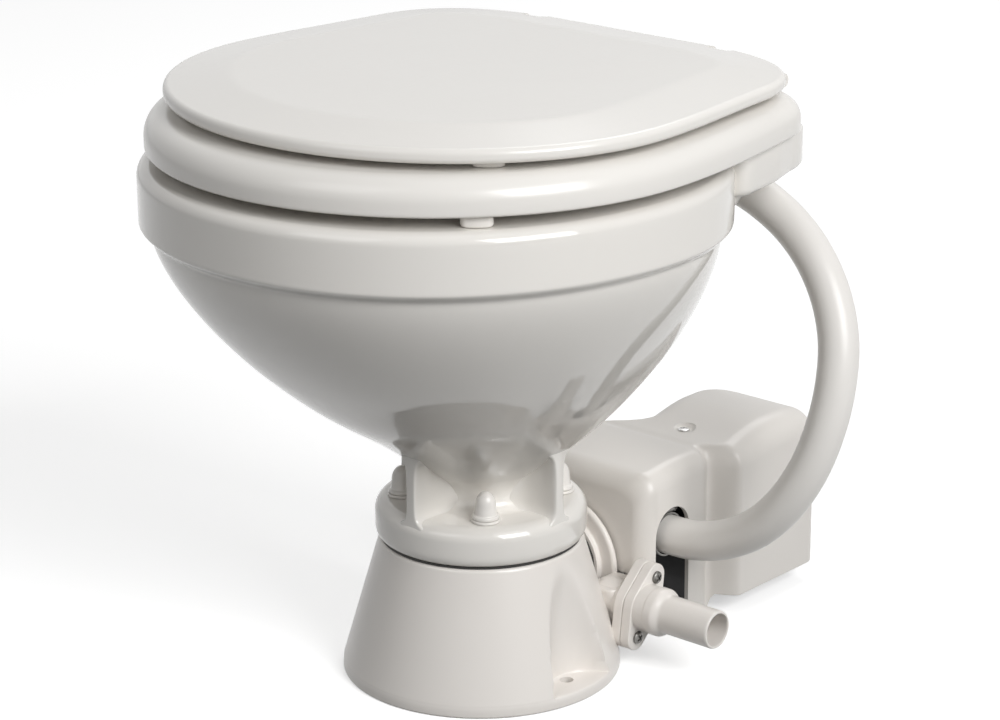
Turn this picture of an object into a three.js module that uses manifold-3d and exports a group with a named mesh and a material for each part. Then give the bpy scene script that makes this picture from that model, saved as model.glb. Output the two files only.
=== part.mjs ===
// Electric marine toilet with a ceramic bowl, macerating pump, flush pump and motor under a cover.
// Millimetres, +Z up. Origin at the centre of the pedestal's foot, on the floor.
// -Y is the front of the seat, +X is the side where the soil outlet and the flush hose leave.

import * as THREE from 'three';
import { mergeVertices } from 'three/addons/utils/BufferGeometryUtils.js';
import Module from 'manifold-3d';

const wasm = await Module();
wasm.setup();

// Fits shared by all pieces
const fitGap = 0.3;
const overrun = 2;
const weld = 0.0005;

// Pedestal: a hollow moulded cone with a soil chamber in the middle
const footRadius = 90;
const footEdge = 6;
const pedestalHeight = 90.5;
const skirtWall = 4.5;
const topPlate = 17;
const soilRadius = 26;
const soilWall = 5;
const soilFloor = 8;
const scoopRadius = 25;
const scoopOutside = 3;
const scoopFlare = 2.5;
const scoopPad = 8;
const floorHoleRadius = 4.5;
const floorHoleInset = 18;
const underRib = 4;

// Bowl: ceramic, from the bolted flange up to the rim
const gasketThickness = 1.6;
const gasketSetback = 0.7;
const bowlFlangeOverhang = 0.5;
const bowlFlangeSwell = 2;
const bowlFlangeHeight = 25;
const bowlFlangeFootRound = 7;
const bowlFlangeTopRound = 9;
const neckWall = 10.5;
const neckFillet = 6.5;
const throatRadius = 24;
const bowlWall = 9;
const neckHeight = 49.3;
const shoulderRise = 16;
const shoulderInset = 14;
const shoulderDrop = 14;
const coneStartRadius = 74;
const rimTop = 350;
const bandHeight = 42;
const coneHalfWidth = 175;
const coneFront = 213;
const coneBack = 122;
const bandStep = 6.8;
const bandEdge = 8;
const widestShift = 28.8;
const rimSideWidth = 48;
const rimFrontWidth = 53;
const rimBackWidth = 36;
const rimLipWidth = 9;
const rimLipDrop = 27;
const rimLipRound = 2;
const rimRoof = 12;
const ribThickness = 8;
const ribSetback = 1.5;
const ribSoftening = 1.6;

// Studs and cap nuts that clamp the bowl to the pedestal
const neckClearance = 6.7;
const studInset = 15;
const studRadius = 3;
const studDepth = 14;
const washerRadius = 9.3;
const washerThickness = 1.7;
const capNutRadius = 7.2;
const capNutSkirt = 8.6;
const capNutSkirtHeight = 2.2;
const capNutHeight = 17.5;

// Hinge deck: the raised ceramic block behind the rim
const deckRise = 6.5;
const deckThickness = 27.5;
const deckBehind = 35;
const deckLength = 97;
const deckMidRun = 56;
const deckCornerRun = 28;
const deckFrontTaper = 10;
const deckMidTaper = 18;
const deckCornerTaper = 26;
const deckBackTaper = 57;
const deckEdge = 3;
const deckSetback = 13;

// Seat ring
const seatLift = 1.1;
const seatThickness = 22.4;
const seatSideOverhang = 6;
const seatFrontOverhang = 1;
const seatWideY = -34;
const seatCornerTaper = 20;
const seatCornerDepth = 32;
const seatCornerRun = 46;
const seatSideWidth = 64;
const seatFrontWidth = 66;
const seatBackWidth = 64;
const seatHoleWideY = -34;
const seatRound = 15;
const seatUnderRound = 2;
const seatHoleRound = 9;

// Lid
const lidGap = 5;
const lidThickness = 15;
const lidRimHeight = 9;
const lidSideSetback = 7;
const lidFrontSetback = 19;
const lidBehindHinge = 3;
const lidWideY = -38;
const lidCornerTaper = 13;
const lidCornerDepth = 70;
const lidCornerRun = 93;
const lidCornerCut = 5;
const lidPanelInset = 46;
const lidEdge = 3.5;

// Bumpers under the seat and the lid
const bumperLength = 19;
const bumperWidth = 10;
const bumperRound = 2.2;
const seatBumperInset = 53;
const seatBumperFrontInset = 68;
const seatBumperRearInset = 42;
const seatBumperRearY = 20;
const seatBumperTurn = 0.72;
const seatBumperRearTurn = 1.62;
const lidBumperInset = 53;
const lidBumperFrontInset = 67;

// Seat and lid hinges on one pin at each side
const hingeDeckInset = 10;
const hingeSeatGap = 7;
const hingePinRadius = 2;
const runningFit = 0.1;
const knuckleRadius = 4.5;
const hingePostX = 77;
const hingePostWidth = 13;
const hingeFootHeight = 3;
const hingeFootLength = 15;
const hingeShankRadius = 4;
const hingeShankLength = 35;
const hingeNutRadius = 10;
const hingeNutHeight = 8;
const seatKnuckleWidth = 14;
const lidKnuckleWidth = 25;
const knucklePlay = 0.8;
const seatLeafDrop = 12;
const lidLeafReach = 40;
const lidLeafThickness = 2.4;
const lidNotchWidth = 17;
const lidNotchDepth = 12;

// Shaft line of the motor and both pumps, parallel to Y
const shaftX = 30;
const shaftRise = 19;
const shaftRadius = 4;
const hubWall = 2;
const bladeThickness = 2;
const impellerPlay = 2;

// Pump housing behind the pedestal
const pumpInletDrop = 42.5;
const hubRadius = 32;
const hubSetback = 13;
const hubRecessRadius = 34;
const pumpInletRadius = 19;
const soilSealThickness = 1.4;
const soilSealRadius = 30;
const housingFrontLength = 4;
const discRadius = 43;
const discThickness = 4.5;
const housingNeckRadius = 33;
const housingNeckLength = 5.5;
const chamberRadius = 20;
const chamberWall = 3.7;
const chamberFrontWall = 3;
const chamberDepth = 9.5;
const linkBore = 3.75;
const linkWall = 2;
const endPlateThickness = 3;
const sealBoss = 3;

// Discharge elbow, outlet flanges and spigot along +X
const outletSetback = 6;
const outletDrop = 10.5;
const outletNeckRadius = 13;
const outletBore = 8;
const ductDrop = 3;
const ductRadius = 11;
const elbowX = 56;
const elbowHalf = 13;
const elbowBelow = 16.5;
const elbowAbove = 10;
const elbowRound = 2.5;
const outletNeckRun = 9.2;
const outletFlangeThickness = 7.3;
const outletScrewY = 9.5;
const outletScrewZ = 18;
const outletLobe = 9;
const outletScrewRadius = 1.9;
const outletHeadRadius = 4.2;
const outletHeadHeight = 2.6;
const outletScrewBite = 6;
const spigotBodyRadius = 16;
const spigotBodyLength = 16;
const spigotTipRadius = 12.7;
const spigotTipLength = 41;
const spigotStep = 3;
const spigotBore = 10;
const spigotLipRadius = 12;
const spigotLipRound = 2;
const jokerRadius = 11;
const jokerFlange = 13;
const jokerLength = 20;
const jokerSlit = 2.4;

// Flush pump: a flexible impeller pump on the same shaft
const flushPumpRadius = 21;
const flushPumpLength = 18.8;
const flushPumpWall = 3.2;
const flushPortRise = 2;
const flushBarbRadius = 8.9;
const flushBarbInset = 1;
const flushBarbBore = 6;
const flushHoseStart = 54.3;
const supplyBarbEnd = -34;
const pumpCoverThickness = 3;
const adapterRadius = 17;
const adapterLength = 10.8;

// Motor
const motorRadius = 37;
const motorWall = 3;
const bracketThickness = 4;
const bracketHalf = 34;
const bracketFoot = 17;
const motorFrontLength = 5;
const motorNoseRadius = 28;
const motorNoseLength = 21;
const motorTaper = 5;
const motorLength = 84;
const endCapLength = 12;
const armatureRadius = 25;
const armatureLength = 46;
const glandRadius = 6.5;
const glandLength = 9;
const glandBore = 3.2;

// Motor cover: one moulded shell in two sections
const coverWall = 3;
const coverFloorGap = 1;
const coverDiscGap = 2;
const coverFrontLength = 75.5;
const coverPumpRoom = 7.3;
const coverStepDown = 7;
const coverCorner = 11;
const coverTopRound = 10;
const coverLeftRoom = 4;
const coverRightRoom = 9;
const coverRearBottom = 13;
const coverTopRoom = 18;
const coverBackRoom = 6.8;
const coverBlendOverlap = 13;
const coverBlendRun = 26;
const coverSeamInset = 2;
const coverRiseRun = 52;
const coverRearRound = 13;
const slotRadius = 17.5;
const slotShift = 0.5;
const slotRise = 20;
const coverFrontCut = 47;
const coverNeckPlay = 2.5;
const coverScrewOffset = 3;
const coverScrewRun = 29.4;
const coverDimpleRadius = 8.5;
const coverDimpleDepth = 2;
const coverScrewRadius = 2;
const coverScrewHead = 4.5;
const coverScrewRise = 2.3;
const coverBossRadius = 5;

// Flush water inlet on the back of the bowl
const inletRise = 2;
const inletBossRadius = 18;
const inletBossLength = 10;
const inletSealThickness = 2;
const inletElbowRun = 25;
const inletElbowRadius = 12.5;
const inletBore = 6.5;
const inletSpoutWall = 2;
const inletBarbEnd = 48;

// Flush hose from the flush pump to the bowl inlet, and its clamps
const hoseRadius = 13.1;
const hoseBore = 9.5;
const hoseInletStart = 20;
const clampFit = 0.7;
const clampThickness = 1.2;
const clampWidth = 5.5;
const clampScrewRadius = 2.9;
const clampScrewLength = 13;
const clampInset = 6;

// Facet counts
const bowlSides = 32;
const turnedSides = 28;
const innerSides = 20;
const pinSides = 16;
const smallSides = 12;
const tinySides = 8;
const seatSides = 38;
const hoseSteps = 17;

// Places on the bowl, worked out from the sizes above
const neckRadius = throatRadius + neckWall;
const studCircleRadius = neckRadius + neckClearance + washerRadius;
const pedestalTopRadius = studCircleRadius + studInset;
const gasketRadius = pedestalTopRadius - gasketSetback;
const scoopReach = footRadius + scoopOutside;
const floorHoleReach = footRadius - floorHoleInset;
const bowlFoot = pedestalHeight + gasketThickness + fitGap + fitGap;
const bowlFlangeFoot = pedestalTopRadius + bowlFlangeOverhang;
const bowlFlangeRadius = bowlFlangeFoot + bowlFlangeSwell;
const ribReach = bowlFlangeRadius - ribSetback;
const flangeTop = bowlFoot + bowlFlangeHeight;
const coneStartHeight = flangeTop + neckHeight;
const shoulderRadius = coneStartRadius - shoulderInset;
const bandBottom = rimTop - bandHeight;
const rimHalfOpening = coneHalfWidth - rimSideWidth;
const rimFrontOpening = coneFront - rimFrontWidth;
const rimBackOpening = coneBack - rimBackWidth;
const deckTop = rimTop + deckRise;
const deckBottom = deckTop - deckThickness;
const deckBackY = coneBack + deckBehind;
const deckFrontY = deckBackY - deckLength;
const deckMidY = deckBackY - deckMidRun;
const deckCornerY = deckBackY - deckCornerRun;
const deckFrontHalf = coneHalfWidth - deckFrontTaper;
const deckMidHalf = coneHalfWidth - deckMidTaper;
const deckCornerHalf = coneHalfWidth - deckCornerTaper;
const deckBackHalf = coneHalfWidth - deckBackTaper;
const inletZ = bandBottom + inletRise;
const inletBossY = coneBack + inletBossLength;
const inletElbowY = inletBossY + inletElbowRun;

// Places on the seat, the lid and their hinges
const hingeY = deckBackY - hingeDeckInset;
const seatBottom = deckTop + seatLift;
const seatTop = seatBottom + seatThickness;
const hingeZ = seatTop;
const seatHalfWidth = coneHalfWidth + seatSideOverhang;
const seatFront = coneFront + seatFrontOverhang;
const seatBackY = hingeY - hingeSeatGap;
const seatCornerHalf = seatHalfWidth - seatCornerTaper;
const seatCornerY = seatBackY - seatCornerDepth;
const seatHoleHalf = seatHalfWidth - seatSideWidth;
const seatHoleFront = seatFront - seatFrontWidth;
const seatHoleBackY = seatBackY - seatBackWidth;
const lidBottom = seatTop + lidGap;
const lidTop = lidBottom + lidThickness;
const lidHalfWidth = seatHalfWidth - lidSideSetback;
const lidFront = seatFront - lidFrontSetback;
const lidBackY = hingeY + lidBehindHinge;
const lidCornerHalf = lidHalfWidth - lidCornerTaper;
const lidCornerY = lidBackY - lidCornerDepth;
const seatBumperHalf = seatHalfWidth - seatBumperInset;
const seatBumperFront = seatFront - seatBumperFrontInset;
const seatBumperRearHalf = seatHalfWidth - seatBumperRearInset;
const lidBumperHalf = lidHalfWidth - lidBumperInset;
const lidBumperFront = lidFront - lidBumperFrontInset;
const postInner = hingePostX - hingePostWidth / 2;
const seatKnuckleX = hingePostX + hingePostWidth / 2 + knucklePlay;
const lidKnuckleX = seatKnuckleX + seatKnuckleWidth + knucklePlay;
const pinEnd = lidKnuckleX + lidKnuckleWidth;

// Places along the pumps, the motor and their cover
const pumpInletZ = pedestalHeight - pumpInletDrop;
const shaftZ = pumpInletZ + shaftRise;
const outletZ = pumpInletZ - outletDrop;
const hubFaceY = footRadius - hubSetback;
const housingStartY = hubFaceY + fitGap + soilSealThickness + fitGap;
const discY = housingStartY + housingFrontLength;
const discBackY = discY + discThickness;
const chamberY = discBackY + housingNeckLength;
const chamberFloorY = chamberY + chamberFrontWall;
const chamberEndY = chamberFloorY + chamberDepth;
const endPlateY = chamberEndY + fitGap;
const flushPumpY = endPlateY + endPlateThickness + fitGap;
const flushPortY = flushPumpY + flushPumpLength / 2;
const flushPortZ = shaftZ + flushPortRise;
const pumpCoverY = flushPumpY + flushPumpLength + fitGap;
const adapterEnd = pumpCoverY + pumpCoverThickness + adapterLength;
const bracketY = adapterEnd + fitGap;
const motorY = bracketY + bracketThickness + fitGap;
const motorCapY = motorY + motorLength + fitGap;
const glandEndY = motorCapY + endCapLength + fitGap + glandLength;
const outletY = hubFaceY - outletSetback;
const ductZ = outletZ - ductDrop;
const elbowFloorZ = outletZ - elbowBelow;
const elbowTopZ = outletZ + elbowAbove;
const outletFlangeX = elbowX + outletNeckRun;
const flangeJointX = outletFlangeX + outletFlangeThickness;
const spigotX = flangeJointX + fitGap;
const outletFaceX = spigotX + outletFlangeThickness;
const coverHalfWidth = shaftX + chamberRadius + chamberWall + coverPumpRoom + coverWall;
const coverFrontY = discBackY + coverDiscGap;
const coverSplitY = coverFrontY + coverFrontLength;
const coverBlendStart = coverSplitY - coverBlendOverlap;
const coverRearLeft = shaftX - motorRadius - coverLeftRoom - coverWall;
const coverRearRight = shaftX + motorRadius + coverRightRoom + coverWall;
const coverRearTop = shaftZ + motorRadius + coverTopRoom + coverWall;
const coverFrontTop = coverRearTop - coverStepDown;
const coverRearBack = glandEndY + coverBackRoom + coverWall;
const coverScrewX = shaftX - coverScrewOffset;
const coverScrewY = motorY + coverScrewRun;
const flushBarbEnd = coverHalfWidth - flushBarbInset;
const slotY = flushPortY - slotShift;
const slotTop = flushPortZ + slotRise;

// Route of the hose: straight out of the pump's port, up behind the rim and forward into the elbow
const hoseRoute = [
  [flushHoseStart, flushPortY, flushPortZ], [80, 118.5, 70], [106, 118.5, 77], [131, 118.5, 91],
  [151.5, 120, 111.5], [166.5, 124, 137], [175, 129.5, 165], [177.5, 136, 193], [174, 143, 220],
  [163.5, 149, 245], [147, 153.5, 267], [126, 156.5, 284.5], [101.5, 157, 298], [76, 157, 306.5],
  [50, inletElbowY, inletZ], [hoseInletStart, inletElbowY, inletZ],
];

// Materials, with the colours of the photographed finishes
function finish(color, roughness, metalness) {
  return new THREE.MeshStandardMaterial({ color, roughness, metalness });
}
const ceramic = finish(0xe4e1da, 0.12, 0);
const enamel = finish(0xebe8e3, 0.16, 0);
const whitePlastic = finish(0xe6e3dd, 0.3, 0);
const coverPlastic = finish(0xd9d5cf, 0.32, 0);
const nutPlastic = finish(0xe9e6e1, 0.28, 0);
const hoseVinyl = finish(0xdedbd5, 0.38, 0);
const rubber = finish(0x24211f, 0.7, 0);
const stainless = finish(0xb9b8b5, 0.3, 1);
const motorPaint = finish(0x2b2c2e, 0.45, 0.2);
const blackPlastic = finish(0x1d1d1f, 0.5, 0);
const impellerRubber = finish(0x38332f, 0.6, 0);

// Closed solids from three.js geometry, for joining and cutting
function solidFrom(geometry) {
  const plain = geometry.clone();
  plain.deleteAttribute('normal');
  plain.deleteAttribute('uv');
  const merged = mergeVertices(plain, weld);
  const place = merged.attributes.position.array;
  const corners = [];
  const index = merged.index.array;
  for (let i = 0; i < index.length; i += 3) {
    const [a, b, c] = [index[i], index[i + 1], index[i + 2]];
    if (a !== b && b !== c && c !== a) corners.push(a, b, c);
  }
  if (signedVolume(place, corners) < 0) corners.reverse();
  return new wasm.Manifold(new wasm.Mesh({
    numProp: 3,
    vertProperties: new Float32Array(place),
    triVerts: new Uint32Array(corners),
  }));
}

function signedVolume(place, corners) {
  const a = new THREE.Vector3();
  const b = new THREE.Vector3();
  const c = new THREE.Vector3();
  let sum = 0;
  for (let i = 0; i < corners.length; i += 3) {
    a.fromArray(place, 3 * corners[i]);
    b.fromArray(place, 3 * corners[i + 1]);
    c.fromArray(place, 3 * corners[i + 2]);
    sum += a.dot(b.cross(c));
  }
  return sum;
}

function geometryFrom(solid) {
  const mesh = solid.getMesh();
  const geometry = new THREE.BufferGeometry();
  const place = new Float32Array(mesh.vertProperties);
  geometry.setAttribute('position', new THREE.BufferAttribute(place, 3));
  geometry.setIndex(new THREE.BufferAttribute(new Uint32Array(mesh.triVerts), 1));
  geometry.computeVertexNormals();
  return geometry;
}

function join(first, ...others) {
  return others.reduce((whole, other) => whole.add(other), first);
}

function cut(first, ...others) {
  return others.reduce((whole, other) => whole.subtract(other), first);
}

// Basic shapes: turned about Z, turned about X or Y, extruded and lofted
function turned(profile, sides = turnedSides) {
  const points = profile.map(([radius, height]) => new THREE.Vector2(radius, height));
  return new THREE.LatheGeometry(points, sides).rotateX(Math.PI / 2);
}

function turnedRing(innerRadius, outerRadius, bottom, top, sides = turnedSides) {
  return turned([
    [innerRadius, bottom], [outerRadius, bottom], [outerRadius, top], [innerRadius, top],
    [innerRadius, bottom],
  ], sides);
}

function rod(radius, bottom, top, sides = turnedSides) {
  return turned([[0, bottom], [radius, bottom], [radius, top], [0, top]], sides);
}

function alongY(geometry, x, z) {
  return geometry.rotateX(-Math.PI / 2).translate(x, 0, z);
}

function alongX(geometry, y, z) {
  return geometry.rotateY(Math.PI / 2).translate(0, y, z);
}

function block(x0, x1, y0, y1, z0, z1) {
  return new THREE.BoxGeometry(x1 - x0, y1 - y0, z1 - z0)
    .translate((x0 + x1) / 2, (y0 + y1) / 2, (z0 + z1) / 2);
}

// A skin over a stack of equal rings of points; the ends are capped, or the last ring meets the first
function lofted(rings, endless = false) {
  const count = rings[0].length;
  const points = rings.flat();
  const index = [];
  const rounds = endless ? rings.length : rings.length - 1;
  for (let i = 0; i < rounds; i += 1) {
    const low = i * count;
    const high = ((i + 1) % rings.length) * count;
    for (let j = 0; j < count; j += 1) {
      const next = (j + 1) % count;
      index.push(low + j, low + next, high + next, low + j, high + next, high + j);
    }
  }
  if (!endless) {
    for (const [ring, flip] of [[0, true], [rings.length - 1, false]]) {
      const centre = new THREE.Vector3();
      rings[ring].forEach((point) => centre.add(point));
      points.push(centre.divideScalar(count));
      for (let j = 0; j < count; j += 1) {
        const near = ring * count + j;
        const far = ring * count + ((j + 1) % count);
        index.push(points.length - 1, flip ? far : near, flip ? near : far);
      }
    }
  }
  const geometry = new THREE.BufferGeometry();
  const place = points.flatMap((point) => point.toArray());
  geometry.setAttribute('position', new THREE.Float32BufferAttribute(place, 3));
  geometry.setIndex(index);
  return geometry;
}

// Level ring with half width, front and back reach about its widest line
function ovalRing(half, front, back, wideY, z, squareness = 2.08, count = bowlSides) {
  const ring = [];
  for (let i = 0; i < count; i += 1) {
    const angle = (i / count) * 2 * Math.PI;
    const across = Math.cos(angle);
    const along = Math.sin(angle);
    const power = 2 / squareness;
    const reach = along > 0 ? back - wideY : front + wideY;
    ring.push(new THREE.Vector3(
      half * Math.sign(across) * Math.abs(across) ** power,
      wideY + reach * Math.sign(along) * Math.abs(along) ** power,
      z,
    ));
  }
  return ring;
}

// The same ring moved inward by a distance along its own normals, at another height
function insetRing(points, distance, z) {
  return points.map((point, i) => {
    const before = points[(i + points.length - 1) % points.length];
    const after = points[(i + 1) % points.length];
    const run = new THREE.Vector2(after.x - before.x, after.y - before.y).normalize();
    return new THREE.Vector3(point.x - run.y * distance, point.y + run.x * distance, z);
  });
}

// Quarter arc from straight out to straight up, as pairs of (share inward, share upward) of a radius
function quarterShares(steps) {
  const shares = [];
  for (let i = 0; i <= steps; i += 1) {
    const angle = (i / steps) * (Math.PI / 2);
    shares.push([1 - Math.cos(angle), Math.sin(angle)]);
  }
  return shares;
}

// Pedestal
function pedestalProfile(grow = 0) {
  const profile = [[0, -grow], [footRadius - footEdge + grow, -grow]];
  for (const [inward, upward] of quarterShares(3)) {
    profile.push([footRadius + grow - footEdge * (1 - upward), footEdge * inward]);
  }
  profile.push([pedestalTopRadius + grow, pedestalHeight], [0, pedestalHeight]);
  return profile;
}

function coneRadiusAt(z) {
  const share = (z - footEdge) / (pedestalHeight - footEdge);
  return footRadius + (pedestalTopRadius - footRadius) * share;
}

function aroundStuds(make) {
  return [0, 1, 2, 3].map((i) => {
    const angle = Math.PI / 4 + i * (Math.PI / 2);
    return make(studCircleRadius * Math.cos(angle), studCircleRadius * Math.sin(angle), angle, i + 1);
  });
}

function pedestal() {
  const outside = solidFrom(turned(pedestalProfile(), bowlSides));
  const underside = pedestalHeight - topPlate;
  const hollow = solidFrom(turned([
    [soilRadius + soilWall, -overrun], [footRadius - skirtWall, -overrun], [footRadius - skirtWall, footEdge],
    [coneRadiusAt(underside) - skirtWall, underside], [soilRadius + soilWall, underside],
    [soilRadius + soilWall, -overrun],
  ], bowlSides));
  const scoops = [-1, 1].map((side) => turned([
    [0, scoopPad], [scoopRadius + scoopFlare, scoopPad], [scoopRadius, pedestalHeight + overrun],
    [0, pedestalHeight + overrun],
  ], innerSides).translate(side * scoopReach, 0, 0));
  const scoopWalls = [-1, 1].map((side) => rod(
    scoopRadius + scoopFlare + skirtWall, 0, pedestalHeight, innerSides,
  ).translate(side * scoopReach, 0, 0));
  const ribs = aroundStuds((x, y, angle) => block(
    soilRadius, footRadius, -underRib / 2, underRib / 2, 0, underside + overrun,
  ).rotateZ(angle));
  const inside = join(...[...scoopWalls, ...ribs].map(solidFrom)).intersect(outside);
  const hub = solidFrom(alongY(rod(hubRadius, soilRadius, hubFaceY), 0, pumpInletZ));
  const soilChamber = rod(soilRadius, soilFloor, pedestalHeight + overrun);
  const soilPassage = alongY(rod(pumpInletRadius, 0, hubFaceY + overrun, innerSides), 0, pumpInletZ);
  const floorHoles = [-1, 1].map((side) => rod(
    floorHoleRadius, -overrun, scoopPad + overrun, smallSides,
  ).translate(side * floorHoleReach, 0, 0));
  const studHoles = aroundStuds((x, y) => rod(
    studRadius + fitGap, pedestalHeight - studDepth - fitGap, pedestalHeight + overrun, smallSides,
  ).translate(x, y, 0));
  const shell = join(cut(outside, hollow, hubRecess(hubRecessRadius, hubFaceY)), inside, hub);
  const hollows = [soilChamber, soilPassage, ...scoops, ...floorHoles, ...studHoles];
  return cut(shell, ...hollows.map(solidFrom));
}

// Round flat cut into the cone where the pump housing meets the hub
function hubRecess(radius, startY) {
  return solidFrom(alongY(rod(radius, startY, footRadius + footEdge), 0, pumpInletZ));
}

function bowlGasket() {
  const z0 = pedestalHeight + fitGap;
  const ring = solidFrom(turnedRing(soilRadius, gasketRadius, z0, z0 + gasketThickness, innerSides));
  const holes = aroundStuds((x, y) => rod(
    studRadius + fitGap, z0 - overrun, z0 + gasketThickness + overrun, tinySides,
  ).translate(x, y, 0));
  return cut(ring, ...holes.map(solidFrom));
}

// Powers that set how soon the cone spreads at its sides, front and back
const coneSidePower = 1.45;
const coneFrontPower = 0.85;
const coneBackPower = 2.3;
const openingSquareness = 2.15;

// Bowl: share of the way from the neck to the rim at each height, for sides, front and back
function coneSection(z, inward = 0) {
  const rise = Math.max(0, (z - coneStartHeight) / (bandBottom - coneStartHeight));
  const share = 1 - (1 - rise) ** coneSidePower;
  const grow = (end, way) => coneStartRadius + (end - coneStartRadius) * way - inward;
  return {
    half: grow(coneHalfWidth, share),
    front: grow(coneFront, share ** coneFrontPower),
    back: grow(coneBack, 1 - (1 - share) ** coneBackPower),
    wideY: -widestShift * share,
  };
}

function coneRing(z, inward = 0) {
  const { half, front, back, wideY } = coneSection(z, inward);
  return ovalRing(half, front, back, wideY, z);
}

function bandRing(outward, z) {
  const { half, front, back, wideY } = coneSection(bandBottom);
  return ovalRing(half + outward, front + outward, back + outward, wideY, z);
}

function openingRing(outward, z) {
  return ovalRing(
    rimHalfOpening + outward, rimFrontOpening + outward, rimBackOpening + outward, -widestShift, z,
    openingSquareness,
  );
}

function roundRing(radius, z) {
  return ovalRing(radius, radius, radius, 0, z, 2);
}

const coneHeightShares = [0, 0.08, 0.2, 0.36, 0.55, 0.77, 1];

function bowlOutside() {
  const rings = [roundRing(bowlFlangeFoot, bowlFoot)];
  const footSpread = bowlFlangeRadius - bowlFlangeFoot;
  for (const [inward, upward] of quarterShares(2).reverse().slice(1)) {
    rings.push(roundRing(
      bowlFlangeFoot + footSpread * (1 - inward), bowlFoot + bowlFlangeFootRound * (1 - upward),
    ));
  }
  for (const [inward, upward] of quarterShares(3)) {
    rings.push(roundRing(
      bowlFlangeRadius - bowlFlangeTopRound * inward, flangeTop - bowlFlangeTopRound * (1 - upward),
    ));
  }
  for (const [inward, upward] of quarterShares(2)) {
    rings.push(roundRing(neckRadius + neckFillet * (1 - upward), flangeTop + neckFillet * inward));
  }
  const neckStart = flangeTop + neckFillet;
  const shoulder = new THREE.CubicBezierCurve(
    new THREE.Vector2(neckRadius, neckStart), new THREE.Vector2(neckRadius, neckStart + shoulderRise),
    new THREE.Vector2(shoulderRadius, coneStartHeight - shoulderDrop),
    new THREE.Vector2(coneStartRadius, coneStartHeight),
  );
  for (const point of shoulder.getPoints(4).slice(1)) rings.push(roundRing(point.x, point.y));
  for (const share of coneHeightShares.slice(1)) {
    rings.push(coneRing(coneStartHeight + (bandBottom - coneStartHeight) * share));
  }
  rings.push(bandRing(bandStep / 2, bandBottom + bandStep / 5));
  rings.push(bandRing(bandStep, bandBottom + bandStep));
  for (const [inward, upward] of quarterShares(3)) {
    rings.push(bandRing(bandStep - bandEdge * inward, rimTop - bandEdge * (1 - upward)));
  }
  return solidFrom(lofted(rings));
}

function bowlInside() {
  const waterTop = coneStartHeight + bowlWall;
  const rings = [
    openingRing(rimLipRound, deckTop + overrun),
    openingRing(rimLipRound, rimTop),
    openingRing(0, rimTop - rimLipRound),
    openingRing(0, rimTop - rimLipDrop),
    openingRing(rimLipWidth, rimTop - rimLipDrop),
    openingRing(rimLipWidth, rimTop - rimRoof),
    bandRing(bandStep - bowlWall - bowlWall, rimTop - rimRoof),
    bandRing(bandStep - bowlWall - bowlWall, bandBottom + bandEdge),
  ];
  for (const share of [...coneHeightShares].reverse().slice(0, -2)) {
    rings.push(coneRing(waterTop + (bandBottom - waterTop) * share, bowlWall));
  }
  rings.push(roundRing(coneStartRadius - bowlWall, waterTop));
  rings.push(roundRing(throatRadius + bowlWall, waterTop - bowlWall));
  rings.push(roundRing(throatRadius, waterTop - bowlWall - bowlWall));
  rings.push(roundRing(throatRadius, bowlFoot - overrun));
  return solidFrom(lofted(rings));
}

function bowlRib(turn) {
  const outline = new THREE.Shape();
  outline.moveTo(throatRadius + bowlWall / 2, -bowlWall);
  outline.lineTo(ribReach, -bowlWall);
  outline.lineTo(ribReach, 0);
  outline.lineTo(ribReach - ribSoftening, coneStartHeight - flangeTop);
  outline.lineTo(ribReach, coneStartHeight - flangeTop + bowlWall);
  outline.lineTo(throatRadius + bowlWall / 2, coneStartHeight - flangeTop - bowlWall);
  const plate = new THREE.ExtrudeGeometry(outline, {
    depth: ribThickness - 2 * ribSoftening,
    bevelThickness: ribSoftening,
    bevelSize: ribSoftening,
    bevelOffset: -ribSoftening,
    bevelSegments: 1,
  });
  plate.translate(0, 0, ribSoftening - ribThickness / 2).rotateX(Math.PI / 2).translate(0, 0, flangeTop);
  return plate.rotateZ(turn);
}

function deckOutline() {
  const shape = new THREE.Shape();
  shape.moveTo(0, deckFrontY);
  shape.lineTo(deckFrontHalf, deckFrontY);
  shape.lineTo(deckMidHalf, deckMidY);
  shape.lineTo(deckCornerHalf, deckCornerY);
  shape.quadraticCurveTo(deckCornerHalf - deckEdge, deckBackY, deckBackHalf, deckBackY);
  shape.lineTo(-deckBackHalf, deckBackY);
  shape.quadraticCurveTo(deckEdge - deckCornerHalf, deckBackY, -deckCornerHalf, deckCornerY);
  shape.lineTo(-deckMidHalf, deckMidY);
  shape.lineTo(-deckFrontHalf, deckFrontY);
  return shape;
}

function hingeDeck() {
  const slab = solidFrom(new THREE.ExtrudeGeometry(deckOutline(), {
    depth: deckTop - deckBottom - 2 * deckEdge,
    curveSegments: 5,
    bevelThickness: deckEdge,
    bevelSize: deckEdge,
    bevelOffset: -deckEdge,
    bevelSegments: 2,
  }).translate(0, 0, deckBottom + deckEdge));
  const opening = lofted([
    openingRing(rimLipWidth + deckSetback, deckBottom - overrun),
    openingRing(rimLipWidth + deckSetback, deckTop + overrun),
  ]);
  return cut(slab, solidFrom(opening));
}

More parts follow.
